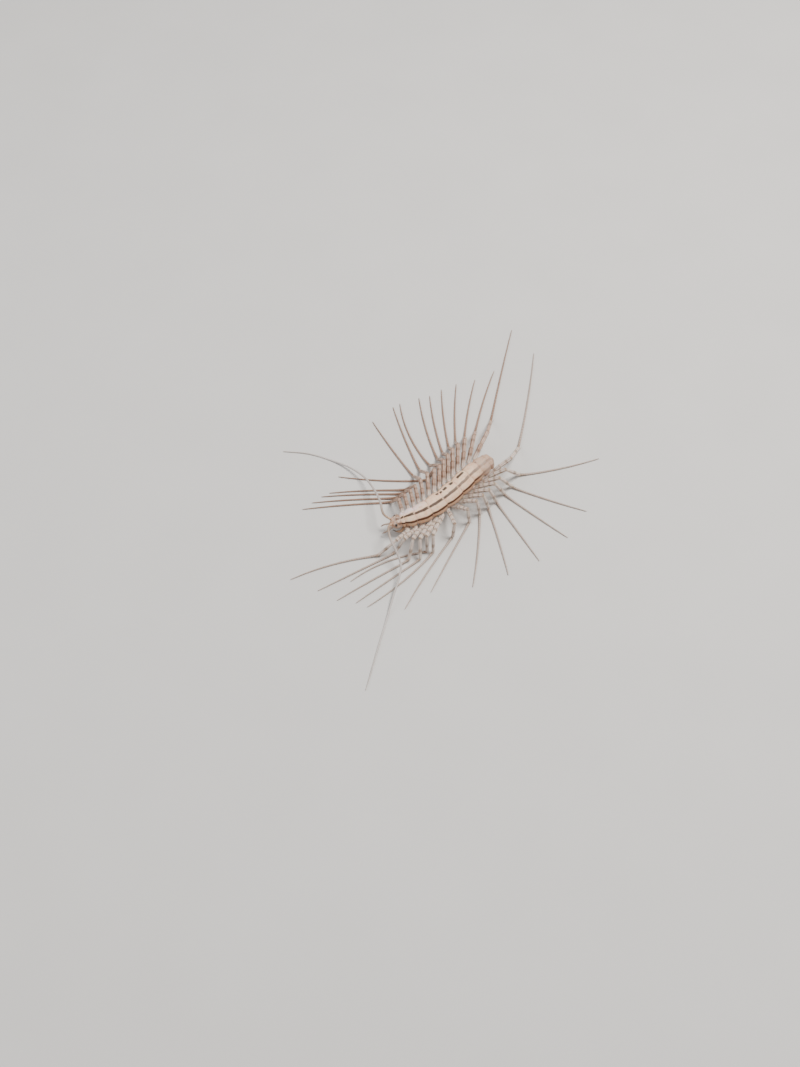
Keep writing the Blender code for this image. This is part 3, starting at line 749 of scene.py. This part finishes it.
def skin():
    """One skin for the trunk's flesh, the fifteen pairs of coxae and the tail."""
    parts = [flesh_sleeve()]
    for side in (LEFT, RIGHT):
        parts.append(tail_lobe(side))
        parts += [coxa(number, side) for number in range(1, LEGS + 1)]
    piece = joined(parts)
    with_modifier(piece, "REMESH", mode="VOXEL", voxel_size=SKIN_VOXEL)
    with_modifier(piece, "SMOOTH", factor=0.5, iterations=4)
    points = points_of(piece)
    outward, girth = body_places(points)
    on_trunk = 1 - smoothstep(1.05, 1.25, outward)
    share = ((points[:, 0] - FIRST_LEG) / LEG_SPACING + 0.5) % 1
    between_legs = bump(np.minimum(share, 1 - share), LEG_DIP_WIDTH)
    belly_plate = smoothstep(-0.55, -0.8, girth) * (1 - between_legs)
    furrows = sum(depth * bump(girth - place, width) for place, width, depth in FURROWS)
    swell = on_trunk * (BELLY_PLATE_PROUD * belly_plate - LEG_DIP_DEPTH * between_legs - furrows)
    middle = np.stack([points[:, 0], np.zeros(len(points)), np.full(len(points), TRUNK_MIDDLE)], axis=1)
    ways = points - middle
    ways /= np.maximum(np.linalg.norm(ways, axis=1), 1e-6)[:, None]
    mark(piece, "outward", outward)
    mark(piece, "girth", girth)
    set_points(piece, bent(points + ways * swell[:, None]))
    return piece


def plate_points(u, v, start, end, overlap):
    """Points of a back plate's upper face, for shares u from front to rear and v from left to right."""
    across = v * PLATE_REACH
    length = end - start
    scale = min(1, length / FULL_SIZE_FROM)
    notch = STOMA_DEPTH * scale * bump(across, STOMA_WIDTH)
    front_corner = FRONT_CORNER * scale * np.abs(v) ** 4
    rear_corner = REAR_CORNER * scale * np.abs(v) ** 4
    along = start + front_corner + u * (length + overlap - rear_corner - front_corner - notch)
    inside = start + np.minimum(u, 1) * length
    slim = slimmer_neck(inside)
    rise = PLATE_RISE * scale * u + PLATE_SWELL * np.sin(math.pi * np.clip(u, 0, 1))
    saddle = SADDLE_RISE * bump(across, SADDLE_WIDTH) * smoothstep(0.45, 0.95, u)
    rim = SIDE_RIM * smoothstep(0.88, 0.97, np.abs(v)) + REAR_RIM * smoothstep(0.93, 1.0, u)
    groove = FRONT_GROOVE * bump(u - 0.14, 0.04)
    lift = PLATE_PROUD + rise + saddle + rim - groove
    before = np.clip(1 - u / PLATE_WIDEST_AT, 0, 1)
    behind = np.clip((u - PLATE_WIDEST_AT) / (1 - PLATE_WIDEST_AT), 0, 1)
    widening = 1.06 - before ** 2.2 - 0.32 * behind ** 2
    reach = half_width(inside) * slim + PLATE_WIDER * widening
    return np.stack([
        along,
        (reach + rim) * np.sin(across),
        TRUNK_MIDDLE + (TRUNK_HALF_HEIGHT * slim + lift) * np.cos(across),
    ], axis=1)


def back_plate(start, end, overlap):
    """A tergite: a thin arched plate with a raised rim and the notch of its breathing slit."""
    nothing_selected()
    cells_along, cells_across = PLATE_CELLS
    bpy.ops.mesh.primitive_grid_add(x_subdivisions=cells_along, y_subdivisions=cells_across, size=2)
    piece = bpy.context.object
    flat = points_of(piece)
    u, v = (flat[:, 0] + 1) / 2, flat[:, 1]
    set_points(piece, plate_points(u, v, start, end, overlap))
    mark(piece, "across", v)
    mark(piece, "back", u)
    mark(piece, "along", start + u * (end - start))
    with_modifier(piece, "SOLIDIFY", thickness=PLATE_THICKNESS, offset=-1)
    with_modifier(piece, "BEVEL", width=PLATE_EDGE, segments=2, limit_method="ANGLE", angle_limit=SHARP)
    return piece


def plate_bristles(start, end, overlap):
    """Short stiff hairs along a plate's side and rear margins."""
    sides = np.linspace(0.15, 0.98, SIDE_HAIRS)
    rears = np.linspace(-0.94, 0.94, REAR_HAIRS)
    u = np.concatenate([sides, sides, np.ones(REAR_HAIRS)])
    v = np.concatenate([-np.ones(SIDE_HAIRS), np.ones(SIDE_HAIRS), rears])
    on_rear = np.abs(v) < 1
    roots = plate_points(u, v, start, end, overlap)
    inner_u = u - np.where(on_rear, 0.06, 0.0)
    inner_v = v * np.where(on_rear, 1, 0.94)
    inner = plate_points(inner_u, inner_v, start, end, overlap)
    ways = roots - inner
    ways /= np.linalg.norm(ways, axis=1)[:, None]
    ways += np.array((0.5, 0, 0.25))
    piece = bristles(roots - ways * 0.04, ways, *EDGE_HAIR)
    for name, value in (("across", 0.97), ("back", 1.0), ("along", start)):
        mark(piece, name, value)
    return piece


def plates(finish):
    """The eight visible back plates; the first also has the narrow collar in front of it."""
    start = HEAD_LENGTH
    for number, length in enumerate(TERGITE_LENGTHS, 1):
        overlap = LAST_OVERLAP if number == len(TERGITE_LENGTHS) else PLATE_OVERLAP
        parts = [back_plate(start, start + length, overlap), plate_bristles(start, start + length, overlap)]
        if number == 1:
            parts.append(back_plate(*COLLAR))
        piece = joined(parts)
        set_points(piece, bent(points_of(piece)))
        finished(piece, f"back_plate_{number}", finish, [f"trunk_{number}"])
        start += length


# Head

HEAD_HALF_WIDTH = 1.58
HEAD_HALF_HEIGHT = 1.02
HEAD_MIDDLE = 3.62
HEAD_FRONT_WIDTH, HEAD_BACK_WIDTH = 0.86, 1.06
HEAD_BACK_HEIGHT = 1.12
HEAD_FRONT_DROP = 0.3
FACE_SIZE, FACE_PLACE = (0.55, 0.72, 0.6), (0.42, 0, 3.2)
LIP_SIZE, LIP_PLACE = (0.34, 0.5, 0.3), (0.16, 0, 2.78)
CHEEK_SIZE, CHEEK_PLACE = (0.62, 0.36, 0.42), (1.15, 0.72, 2.78)
SOCKET_PROFILE = ((0, 0.3), (0.5, 0.36), (0.8, 0.38), (1.0, 0.3))
SOCKET_START, SOCKET_END = (0.75, 0.45, 3.7), (0.16, 0.5, 4.0)
HEAD_VOXEL = 0.045
SUTURE_DEPTH = 0.05
BROW_RISE = 0.05

# Eyes: each a cap cut from a ball, with a short skirt below its rim, where its middle sits, which way
# it looks and how deep it is sunk. Its lenses bulge, reach so far from their middles, start a little
# below the rim and flatten out at it.
EYE_SIZE = (0.525, 1.0, 0.46)
EYE_CUT = 0.45
EYE_PLACE = (1.02, 1.05, 3.96)
EYE_LOOKS = (-0.62, 0.74, 0.26)
EYE_SUNK = 0.34
EYE_SKIRT = 0.08
LENS_BULGE, LENS_REACH = 0.035, 0.09
LENS_MARGIN, LENS_FADE = 0.15, 0.04


def ball(size, place, segments=48):
    nothing_selected()
    bpy.ops.mesh.primitive_uv_sphere_add(segments=segments, ring_count=segments // 2, radius=1)
    piece = bpy.context.object
    return moved(piece, Matrix.Translation(place) @ Matrix.Diagonal((*size, 1)))


def skull():
    """The head's rounded shell, higher at the back and lower in front."""
    half = HEAD_LENGTH / 2
    piece = ball((half, HEAD_HALF_WIDTH, HEAD_HALF_HEIGHT), (0, 0, 0))
    points = points_of(piece)
    back = (points[:, 0] / half + 1) / 2
    points[:, 1] *= HEAD_FRONT_WIDTH + (HEAD_BACK_WIDTH - HEAD_FRONT_WIDTH) * back
    points[:, 2] *= 1 + (HEAD_BACK_HEIGHT - 1) * back
    points[:, 2] += HEAD_MIDDLE - HEAD_FRONT_DROP * (1 - back)
    points[:, 0] += half
    set_points(piece, points)
    return piece


def antenna_socket(side):
    piece = drawn_out(20, round_stations(SOCKET_PROFILE, 8))
    return run_between(piece, on_side(SOCKET_START, side), on_side(SOCKET_END, side))


def head(finish):
    """Skull, face plate, upper lip, sockets and cheeks in one shell, with its sutures pressed in."""
    parts = [skull(), ball(FACE_SIZE, FACE_PLACE, 32), ball(LIP_SIZE, LIP_PLACE, 24)]
    parts += [antenna_socket(side) for side in (LEFT, RIGHT)]
    parts += [ball(CHEEK_SIZE, on_side(CHEEK_PLACE, side), 24) for side in (LEFT, RIGHT)]
    piece = joined(parts)
    with_modifier(piece, "REMESH", mode="VOXEL", voxel_size=HEAD_VOXEL)
    with_modifier(piece, "SMOOTH", factor=0.5, iterations=4)
    points = points_of(piece)
    x, y, z = points.T
    top = smoothstep(3.5, 4.0, z)
    crown = top * smoothstep(0.35, 0.8, x)
    middle_suture = bump(y, 0.07) * crown * smoothstep(1.5, 1.2, x)
    arched_suture = 0.9 * bump(x - 1.62 - 0.22 * np.abs(y), 0.06) * crown
    rear_furrow = bump(x - 2.25, 0.08) * top
    brows = bump(np.abs(y) - 0.42, 0.2) * bump(x - 1.15, 0.35) * crown
    lift = BROW_RISE * brows - SUTURE_DEPTH * (middle_suture + arched_suture + rear_furrow)
    ways = points - (HEAD_LENGTH / 2, 0, HEAD_MIDDLE - 0.2)
    ways /= np.linalg.norm(ways, axis=1)[:, None]
    mark(piece, "along", x)
    mark(piece, "across", y / HEAD_HALF_WIDTH)
    set_points(piece, bent(points + ways * lift[:, None]))
    finished(piece, "head_shell", finish, ["head"])


def eye_lenses():
    """The middles of an eye's lenses, as directions from the ball's middle."""
    nothing_selected()
    bpy.ops.mesh.primitive_ico_sphere_add(subdivisions=4, radius=1)
    guide = bpy.context.object
    middles = points_of(guide)
    bpy.data.objects.remove(guide)
    return middles[middles[:, 1] > EYE_CUT - LENS_MARGIN]


def eye(side, finish):
    """A compound eye: a cap of a ball whose surface bulges out at each lens."""
    nothing_selected()
    bpy.ops.mesh.primitive_ico_sphere_add(subdivisions=7, radius=1)
    piece = bpy.context.object
    bpy.ops.object.mode_set(mode="EDIT")
    bpy.ops.mesh.select_all(action="SELECT")
    cut = (0, EYE_CUT - EYE_SKIRT, 0)
    bpy.ops.mesh.bisect(plane_co=cut, plane_no=(0, -1, 0), clear_outer=True, use_fill=True)
    bpy.ops.object.mode_set(mode="OBJECT")
    points = points_of(piece)
    nearest = np.max(points @ eye_lenses().T, axis=1)
    away = np.arccos(np.clip(nearest, -1, 1))
    lens = smoothstep(EYE_CUT - LENS_FADE, EYE_CUT + LENS_FADE, points[:, 1])
    points *= (1 + LENS_BULGE * lens * (1 - (away / LENS_REACH) ** 2))[:, None]
    looks = Vector(on_side(EYE_LOOKS, side)).normalized()
    turn = np.array(Vector((0, 1, 0)).rotation_difference(looks).to_matrix())
    place = np.array(on_side(EYE_PLACE, side)) - np.array(looks) * EYE_SUNK
    base = np.array((0, EYE_CUT, 0))
    set_points(piece, bent((points * EYE_SIZE - base) @ turn.T + place))
    name = SIDE_NAMES[side]
    finished(piece, f"compound_eye_{name}", finish, [f"eye_{name}"])


# Jointed forms

def read_along(shares, values):
    """What these values, evenly spread over a form's length, come to at shares of it."""
    return np.interp(shares, np.linspace(0, 1, len(values)), values)


def articles(lengths, radii, swell, rings):
    """Stations of a jointed form over x = 0 to 1, each joint's article narrow at its ends."""
    stations = []
    edges = np.concatenate([[0], np.cumsum(lengths)]) / sum(lengths)
    for start, end in zip(edges, edges[1:]):
        for share in np.linspace(0.03, 0.97, rings):
            place = start + share * (end - start)
            radius = float(read_along(place, radii)) * (1 - swell * (2 * share - 1) ** 4)
            stations.append((float(place), radius, radius))
    return stations


def fuzz(radii, length, count, reach, seed):
    """Fine hairs all round a form drawn out over x = 0 to 1 that is to be this long."""
    rng = np.random.default_rng(seed)
    shares = rng.uniform(0.03, 0.96, count)
    angles = rng.uniform(0, 2 * math.pi, count)
    out = np.stack([np.zeros(count), np.cos(angles), np.sin(angles)], axis=1)
    roots = out * (read_along(shares, radii) * 0.9)[:, None]
    roots[:, 0] = shares * length
    fur = bristles(roots, out + np.array((1.1, 0, 0)), reach, 0.012)
    return moved(fur, Matrix.Diagonal((1 / length, 1, 1, 1)))


# Mouthparts: the bends on the straight body, from a root inside it to the tip, the radii, the lengths
# of the articles against each other, and how many hairs
FORCIPULE_BENDS = (
    (2.95, 0.55, 2.6), (2.6, 1.06, 2.26), (1.9, 1.5, 1.84), (1.0, 1.24, 1.64), (0.4, 0.64, 1.5),
)
FORCIPULE_RADII = (0.34, 0.36, 0.36, 0.3, 0.22, 0.1, 0.04)
FORCIPULE_ARTICLES = (3, 5, 4, 2, 2, 5)
FORCIPULE_HAIRS = 24
PALP_BENDS = (
    (0.95, 0.36, 2.95), (0.5, 0.43, 2.36), (-0.5, 0.72, 1.78), (-1.25, 0.86, 1.4), (-1.8, 0.78, 0.95),
)
PALP_RADII = (0.2, 0.21, 0.22, 0.2, 0.15, 0.06)
PALP_ARTICLES = (3, 3, 5, 5, 7)
PALP_HAIRS = 60
MOUTHPART_SIDES = 16
MOUTHPART_TIP = (1.0, 0.02, 0.02)


def mouthpart(side, bends, radii, lengths, hairs):
    """A jointed mouthpart along its bends, with hairs all over it."""
    line = smooth_line([on_side(bend, side) for bend in bends], 40)
    stations = articles(lengths, radii, 0.34, 9) + [MOUTHPART_TIP]
    piece = laid_along(drawn_out(MOUTHPART_SIDES, stations), line)
    mark(piece, "stretch", np.repeat([place for place, _, _ in stations], MOUTHPART_SIDES))
    rng = np.random.default_rng(7 + side)
    shares = rng.uniform(0.1, 0.85, hairs)
    roots = np.stack([read_along(shares, line[:, axis]) for axis in range(3)], axis=1)
    ways = rng.normal(size=(hairs, 3)) + np.array((-0.8, 0, -0.2))
    fur = bristles(roots, ways, rng.uniform(0.42, 0.62, hairs), 0.014)
    mark(fur, "stretch", 0.9)
    piece = joined([piece, fur])
    set_points(piece, bent(points_of(piece)))
    return piece


def mouth(claw_finish, palp_finish):
    """The two poison claws under the head, and the two palps in front of them."""
    for side in (LEFT, RIGHT):
        name = SIDE_NAMES[side]
        claw = mouthpart(side, FORCIPULE_BENDS, FORCIPULE_RADII, FORCIPULE_ARTICLES, FORCIPULE_HAIRS)
        finished(claw, f"poison_claw_{name}", claw_finish, [f"forcipule_{name}"])
        palp = mouthpart(side, PALP_BENDS, PALP_RADII, PALP_ARTICLES, PALP_HAIRS)
        finished(palp, f"mouth_feeler_{name}", palp_finish, [f"palp_{name}"])


# Feelers

ANTENNA_RINGS = 210
ANTENNA_SIDES = 8
ANTENNA_HAIRS = 420
ANTENNA_LENGTH = 45.0
ANTENNA_RADII = (0.27, 0.25, 0.235, 0.22, 0.205, 0.19, 0.165, 0.13, 0.07)


def antenna(side, master, finish):
    """One feeler: a copy of the straight one, laid along its bends and kept above the floor."""
    points = ANTENNA_LEFT if side == LEFT else ANTENNA_RIGHT
    socket = bent(on_side(ANTENNA_SOCKET, side))[0]
    bends = [socket] + [np.array(point) - (*MODEL_MIDDLE, 0) for point in points]
    piece = laid_along(copy_of(master), smooth_line(bends, 160))
    points = points_of(piece)
    points[:, 2] = np.maximum(points[:, 2], FLOOR_CLEARANCE)
    set_points(piece, points)
    name = SIDE_NAMES[side]
    finished(piece, f"feeler_{name}", finish, [f"antenna_{name}"])


def antennae(finish):
    """Two long feelers of very many short rings, after two longer pieces at the base."""
    lengths = [5, 4] + [1] * ANTENNA_RINGS
    master = drawn_out(ANTENNA_SIDES, articles(lengths, ANTENNA_RADII, 0.16, 3))
    mark(master, "ring", np.repeat(np.tile([1.0, 0.0, 0.4], len(lengths)), ANTENNA_SIDES))
    fur = fuzz(ANTENNA_RADII, ANTENNA_LENGTH, ANTENNA_HAIRS, 0.16, 21)
    mark(fur, "ring", 1.0)
    master = joined([master, fur])
    mark(master, "stretch", points_of(master)[:, 0])
    for side in (LEFT, RIGHT):
        antenna(side, master, finish)
    bpy.data.objects.remove(master)


# Legs
# A leg's long segments are drawn out over the same length and stretched later. Spurs are set round the
# end of a segment at angles in degrees. Spurs and teeth have a length and a width.

SEGMENT_SIDES = 20
RIDGES_APART = 4
SEGMENT_STATIONS = 27
SEGMENT_LENGTH = 3.0
SUNK_START, SUNK_END = 0.1, 0.08
# How much painted shade each side's legs carry: the right ones are shaded warmer and darker than the left.
SHADE_BY_SIDE = {LEFT: 0.05, RIGHT: 0.8}
PREFEMUR = (
    (0, 0.34), (0.12, 0.43), (0.35, 0.46), (0.9, 0.43), (2.2, 0.42), (2.75, 0.45), (2.93, 0.47), (3.0, 0.38),
)
FEMUR = (
    (0, 0.26), (0.12, 0.33), (0.4, 0.37), (1.4, 0.39), (2.3, 0.38), (2.75, 0.4), (2.93, 0.42), (3.0, 0.33),
)
TIBIA = (
    (0, 0.22), (0.12, 0.28), (0.4, 0.32), (1.4, 0.34), (2.3, 0.31), (2.75, 0.33), (2.93, 0.35), (3.0, 0.26),
)
PREFEMUR_SPURS, FEMUR_SPURS, TIBIA_SPURS = (70, 110, 250), (80, 235, 300), (60, 180, 240, 300)
SPUR = (0.62, 0.05)
SPURS_AT = 2.86
TOOTH = (0.2, 0.02)
RIDGE_RISE, TOOTH_RISE, GROOVE_DEPTH = 0.1, 0.07, 0.045
TARSUS_RADII = (0.26, 0.24, 0.22, 0.2, 0.185, 0.165, 0.14, 0.11, 0.07)
TARSUS_ARTICLES = [1.6] * 14 + [1.0] * 36
TARSUS_SIDES = 8
TARSUS_HAIRS = 170
TARSUS_SHARE = 0.985
END_CLAW = ((0.9865, 0.055, 0.055), (0.993, 0.035, 0.035), (1.0, 0.008, 0.008))
FOOT_LENGTH = 18.0


def leg_segment(profile, spurs, seed):
    """A long segment: ridged lengthwise with toothed ridges, flared at its end, where it bears spurs."""
    piece = drawn_out(SEGMENT_SIDES, round_stations(profile, SEGMENT_STATIONS))
    points = points_of(piece)
    ring = np.arange(len(points)) // SEGMENT_SIDES
    column = np.arange(len(points)) % SEGMENT_SIDES
    from_ridge = np.minimum(column % RIDGES_APART, -column % RIDGES_APART)
    on_ridge = from_ridge == 0
    on_tooth = on_ridge & (ring % 2 == 1)
    middle_part = smoothstep(0.2, 0.6, points[:, 0]) * smoothstep(3.0, 2.7, points[:, 0])
    swell = np.where(on_ridge, RIDGE_RISE + TOOTH_RISE * on_tooth, -GROOVE_DEPTH)
    points[:, 1:] *= (1 + middle_part * swell)[:, None]
    set_points(piece, points)
    # The groove mark lays painted shade along the middle of each groove between the ridges.
    mark(piece, "groove", middle_part * (from_ridge == RIDGES_APART // 2))
    roots = points[on_tooth & (ring > 3) & (ring < SEGMENT_STATIONS - 2)]
    out = roots * (0, 1, 1)
    out /= np.linalg.norm(out, axis=1)[:, None]
    teeth = bristles(roots - out * 0.02, out + np.array((1.1, 0, 0)), *TOOTH)
    rng = np.random.default_rng(seed)
    angles = np.radians(spurs) + rng.normal(scale=0.08, size=len(spurs))
    around = np.stack([np.zeros(len(angles)), np.cos(angles), np.sin(angles)], axis=1)
    rim = profile[-2][1]
    spikes = bristles(around * rim * 0.9 + (SPURS_AT, 0, 0), around * 0.5 + (1, 0, 0), *SPUR)
    return joined([piece, teeth, spikes])


def tarsus_master():
    """The whip-like foot: many short rings over x = 0 to 1, with fine hairs and a small claw at its tip."""
    rings = articles(TARSUS_ARTICLES, TARSUS_RADII, 0.09, 4)
    stations = [(place * TARSUS_SHARE, wide, high) for place, wide, high in rings]
    piece = drawn_out(TARSUS_SIDES, stations + list(END_CLAW))
    grooves = [*np.tile([0.9, 0.0, 0.0, 0.5], len(TARSUS_ARTICLES)), *[1.0] * len(END_CLAW)]
    mark(piece, "groove", np.repeat(grooves, TARSUS_SIDES))
    fur = fuzz(TARSUS_RADII, FOOT_LENGTH, TARSUS_HAIRS, 0.2, 31)
    mark(fur, "groove", 0.8)
    return joined([piece, fur])


def stance(number, side):
    """A leg's stance, worked out between the nearest legs whose stances are given."""
    given = STANCE_LEFT if side == LEFT else STANCE_RIGHT
    keys = sorted(given)
    return [float(np.interp(number, keys, [given[key][item] for key in keys])) for item in range(7)]


def leg_places(number, side):
    """A leg's joints from the end of its coxa to its ankle, and the line of its tarsus on the floor."""
    femur_turn, reach, knee_height, tibia_turn, fall, start_turn, curl = stance(number, side)
    coxa_end = bent(coxa_ends(number, side)[1])[0]
    heading = np.interp(FIRST_LEG + (number - 1) * LEG_SPACING, SPINE[0], SPINE[2])
    to_tail = np.array((math.cos(heading), math.sin(heading), 0))
    out = np.array((-math.sin(heading), math.cos(heading), 0)) * side

    def direction(turn):
        return out * math.cos(math.radians(turn)) + to_tail * math.sin(math.radians(turn))

    knee = coxa_end + direction(femur_turn) * (reach - COXA_LENGTH)
    knee[2] = knee_height
    middle = (coxa_end + knee) / 2 + (0, 0, FEMUR_ARCH * np.linalg.norm(knee - coxa_end))
    ankle = knee + direction(tibia_turn) * fall
    ankle[2] = ANKLE_HEIGHT
    length = float(np.interp(number, TARSUS_LENGTH_AT, TARSUS_LENGTH))
    line = [ankle]
    for step in range(1, TARSUS_STEPS + 1):
        share = (step - 0.5) / TARSUS_STEPS
        point = line[-1] + direction(start_turn + curl * share) * (length / TARSUS_STEPS)
        settle = min(1.0, step / TARSUS_STEPS / TARSUS_SETTLES)
        point[2] = ANKLE_HEIGHT + (FOOT_HEIGHT - ANKLE_HEIGHT) * (1 - (1 - settle) ** 2)
        line.append(point)
    return [coxa_end, middle, knee, ankle], np.array(line)


def leg(number, side, segments, tarsus, finish):
    """One leg: copies of the three segments run between its joints, and of the foot laid on the floor."""
    joints, line = leg_places(number, side)
    parts = []
    for part, (segment, start, end) in enumerate(zip(segments, joints, joints[1:])):
        piece = copy_of(segment)
        mark(piece, "stretch", part + np.clip(points_of(piece)[:, 0] / SEGMENT_LENGTH, 0, 1))
        way = (end - start) / np.linalg.norm(end - start)
        start, end = start - way * SUNK_START, end + way * SUNK_END
        parts.append(run_between(piece, start, end, leg_thickness(number), SEGMENT_LENGTH))
    foot = copy_of(tarsus)
    mark(foot, "stretch", len(segments) + points_of(foot)[:, 0])
    parts.append(laid_along(foot, line))
    piece = joined(parts)
    name = f"{SIDE_NAMES[side]}_{number:02d}"
    points = points_of(piece)
    points[:, 2] = np.maximum(points[:, 2], FLOOR_CLEARANCE)
    set_points(piece, points)
    # The side's share of painted shade
    mark(piece, "side_shade", SHADE_BY_SIDE[side])
    finished(piece, f"walking_leg_{name}", finish, [f"leg_{name}"])


def legs(finish):
    segments = [leg_segment(PREFEMUR, PREFEMUR_SPURS, 3), leg_segment(FEMUR, FEMUR_SPURS, 4),
                leg_segment(TIBIA, TIBIA_SPURS, 5)]
    tarsus = tarsus_master()
    for side in (LEFT, RIGHT):
        for number in range(1, LEGS + 1):
            leg(number, side, segments, tarsus, finish)
    for master in (*segments, tarsus):
        bpy.data.objects.remove(master)


# Stage
# The camera is placed so that BODY_PLACE falls on the photo's pixel BODY_IN_PHOTO. A lamp has a place in
# metres, a power, a size and a colour.

PHOTO_SIZE = (800, 1067)
BODY_IN_PHOTO = (446, 497)
BODY_PLACE = Vector((*-MODEL_MIDDLE, 4.6))
CAMERA_AZIMUTH = math.radians(-35.6)
CAMERA_ELEVATION = math.radians(60)
CAMERA_DISTANCE = 211
LENS, SENSOR = 35, 36
FLOOR_SIZE = 3
STUDIO_LIGHT = (0.84, 0.84, 0.85, 1)
STUDIO_STRENGTH = 0.55
KEY_LAMP = ((0.2, -0.04, 0.44), 3.3, 0.2, (1.0, 0.97, 0.93))
FILL_LAMP = ((-0.3, 0.24, 0.3), 0.9, 0.35, (0.96, 0.97, 1.0))


def camera():
    """The photo's viewpoint: the body keeps its place in the picture."""
    right = Vector((math.cos(CAMERA_AZIMUTH), math.sin(CAMERA_AZIMUTH), 0))
    level = math.cos(CAMERA_ELEVATION)
    back = Vector((right.y * level, -right.x * level, math.sin(CAMERA_ELEVATION)))
    up = back.cross(right)
    per_pixel = CAMERA_DISTANCE / (LENS / SENSOR * PHOTO_SIZE[1])
    aside = (BODY_IN_PHOTO[0] - PHOTO_SIZE[0] / 2) * per_pixel
    below = (BODY_IN_PHOTO[1] - PHOTO_SIZE[1] / 2) * per_pixel
    place = BODY_PLACE + back * CAMERA_DISTANCE - right * aside + up * below
    lens = bpy.data.cameras.new("camera")
    lens.lens = LENS
    lens.sensor_width = SENSOR
    lens.clip_start, lens.clip_end = 0.005, 10
    view = bpy.data.objects.new("camera", lens)
    bpy.context.scene.collection.objects.link(view)
    turn = Matrix((right, up, back)).transposed().to_4x4()
    view.matrix_world = Matrix.Translation(place * TO_METRES) @ turn
    bpy.context.scene.camera = view


def lamp(name, place, power, size, colour):
    """A soft square light over the model, aimed at it."""
    light = bpy.data.lights.new(name, "AREA")
    light.energy = power
    light.size = size
    light.color = colour
    thing = bpy.data.objects.new(name, light)
    bpy.context.scene.collection.objects.link(thing)
    thing.location = place
    thing.rotation_euler = Vector(place).to_track_quat("Z", "Y").to_euler()


def stage():
    """A plain pale floor under soft studio light."""
    nothing_selected()
    bpy.ops.mesh.primitive_plane_add(size=FLOOR_SIZE)
    floor = bpy.context.object
    floor.name = "floor"
    finish = Finish("floor_finish", 0.85)
    finish.colour(finish.mix(finish.noise(0.05, 4.0), linear(206, 204, 201), linear(214, 212, 209)))
    floor.data.materials.append(finish.material)
    world = bpy.data.worlds.new("studio")
    bpy.context.scene.world = world
    world.use_nodes = True
    background = world.node_tree.nodes["Background"]
    background.inputs["Color"].default_value = STUDIO_LIGHT
    background.inputs["Strength"].default_value = STUDIO_STRENGTH
    lamp("key", *KEY_LAMP)
    lamp("fill", *FILL_LAMP)


def main():
    camera()
    plate = plate_finish()
    leg_shell = leg_finish()
    finished(skin(), "body_skin", skin_finish(), ["telson"])
    plates(plate)
    head(head_finish())
    eye_shell = eye_finish()
    for side in (LEFT, RIGHT):
        eye(side, eye_shell)
    mouth(mouthpart_finish("claw_finish", linear(186, 150, 120), DARK, 0.3),
          mouthpart_finish("palp_finish", linear(206, 184, 166), RUST, 0.45))
    antennae(antenna_finish())
    legs(leg_shell)
    stage()


main()
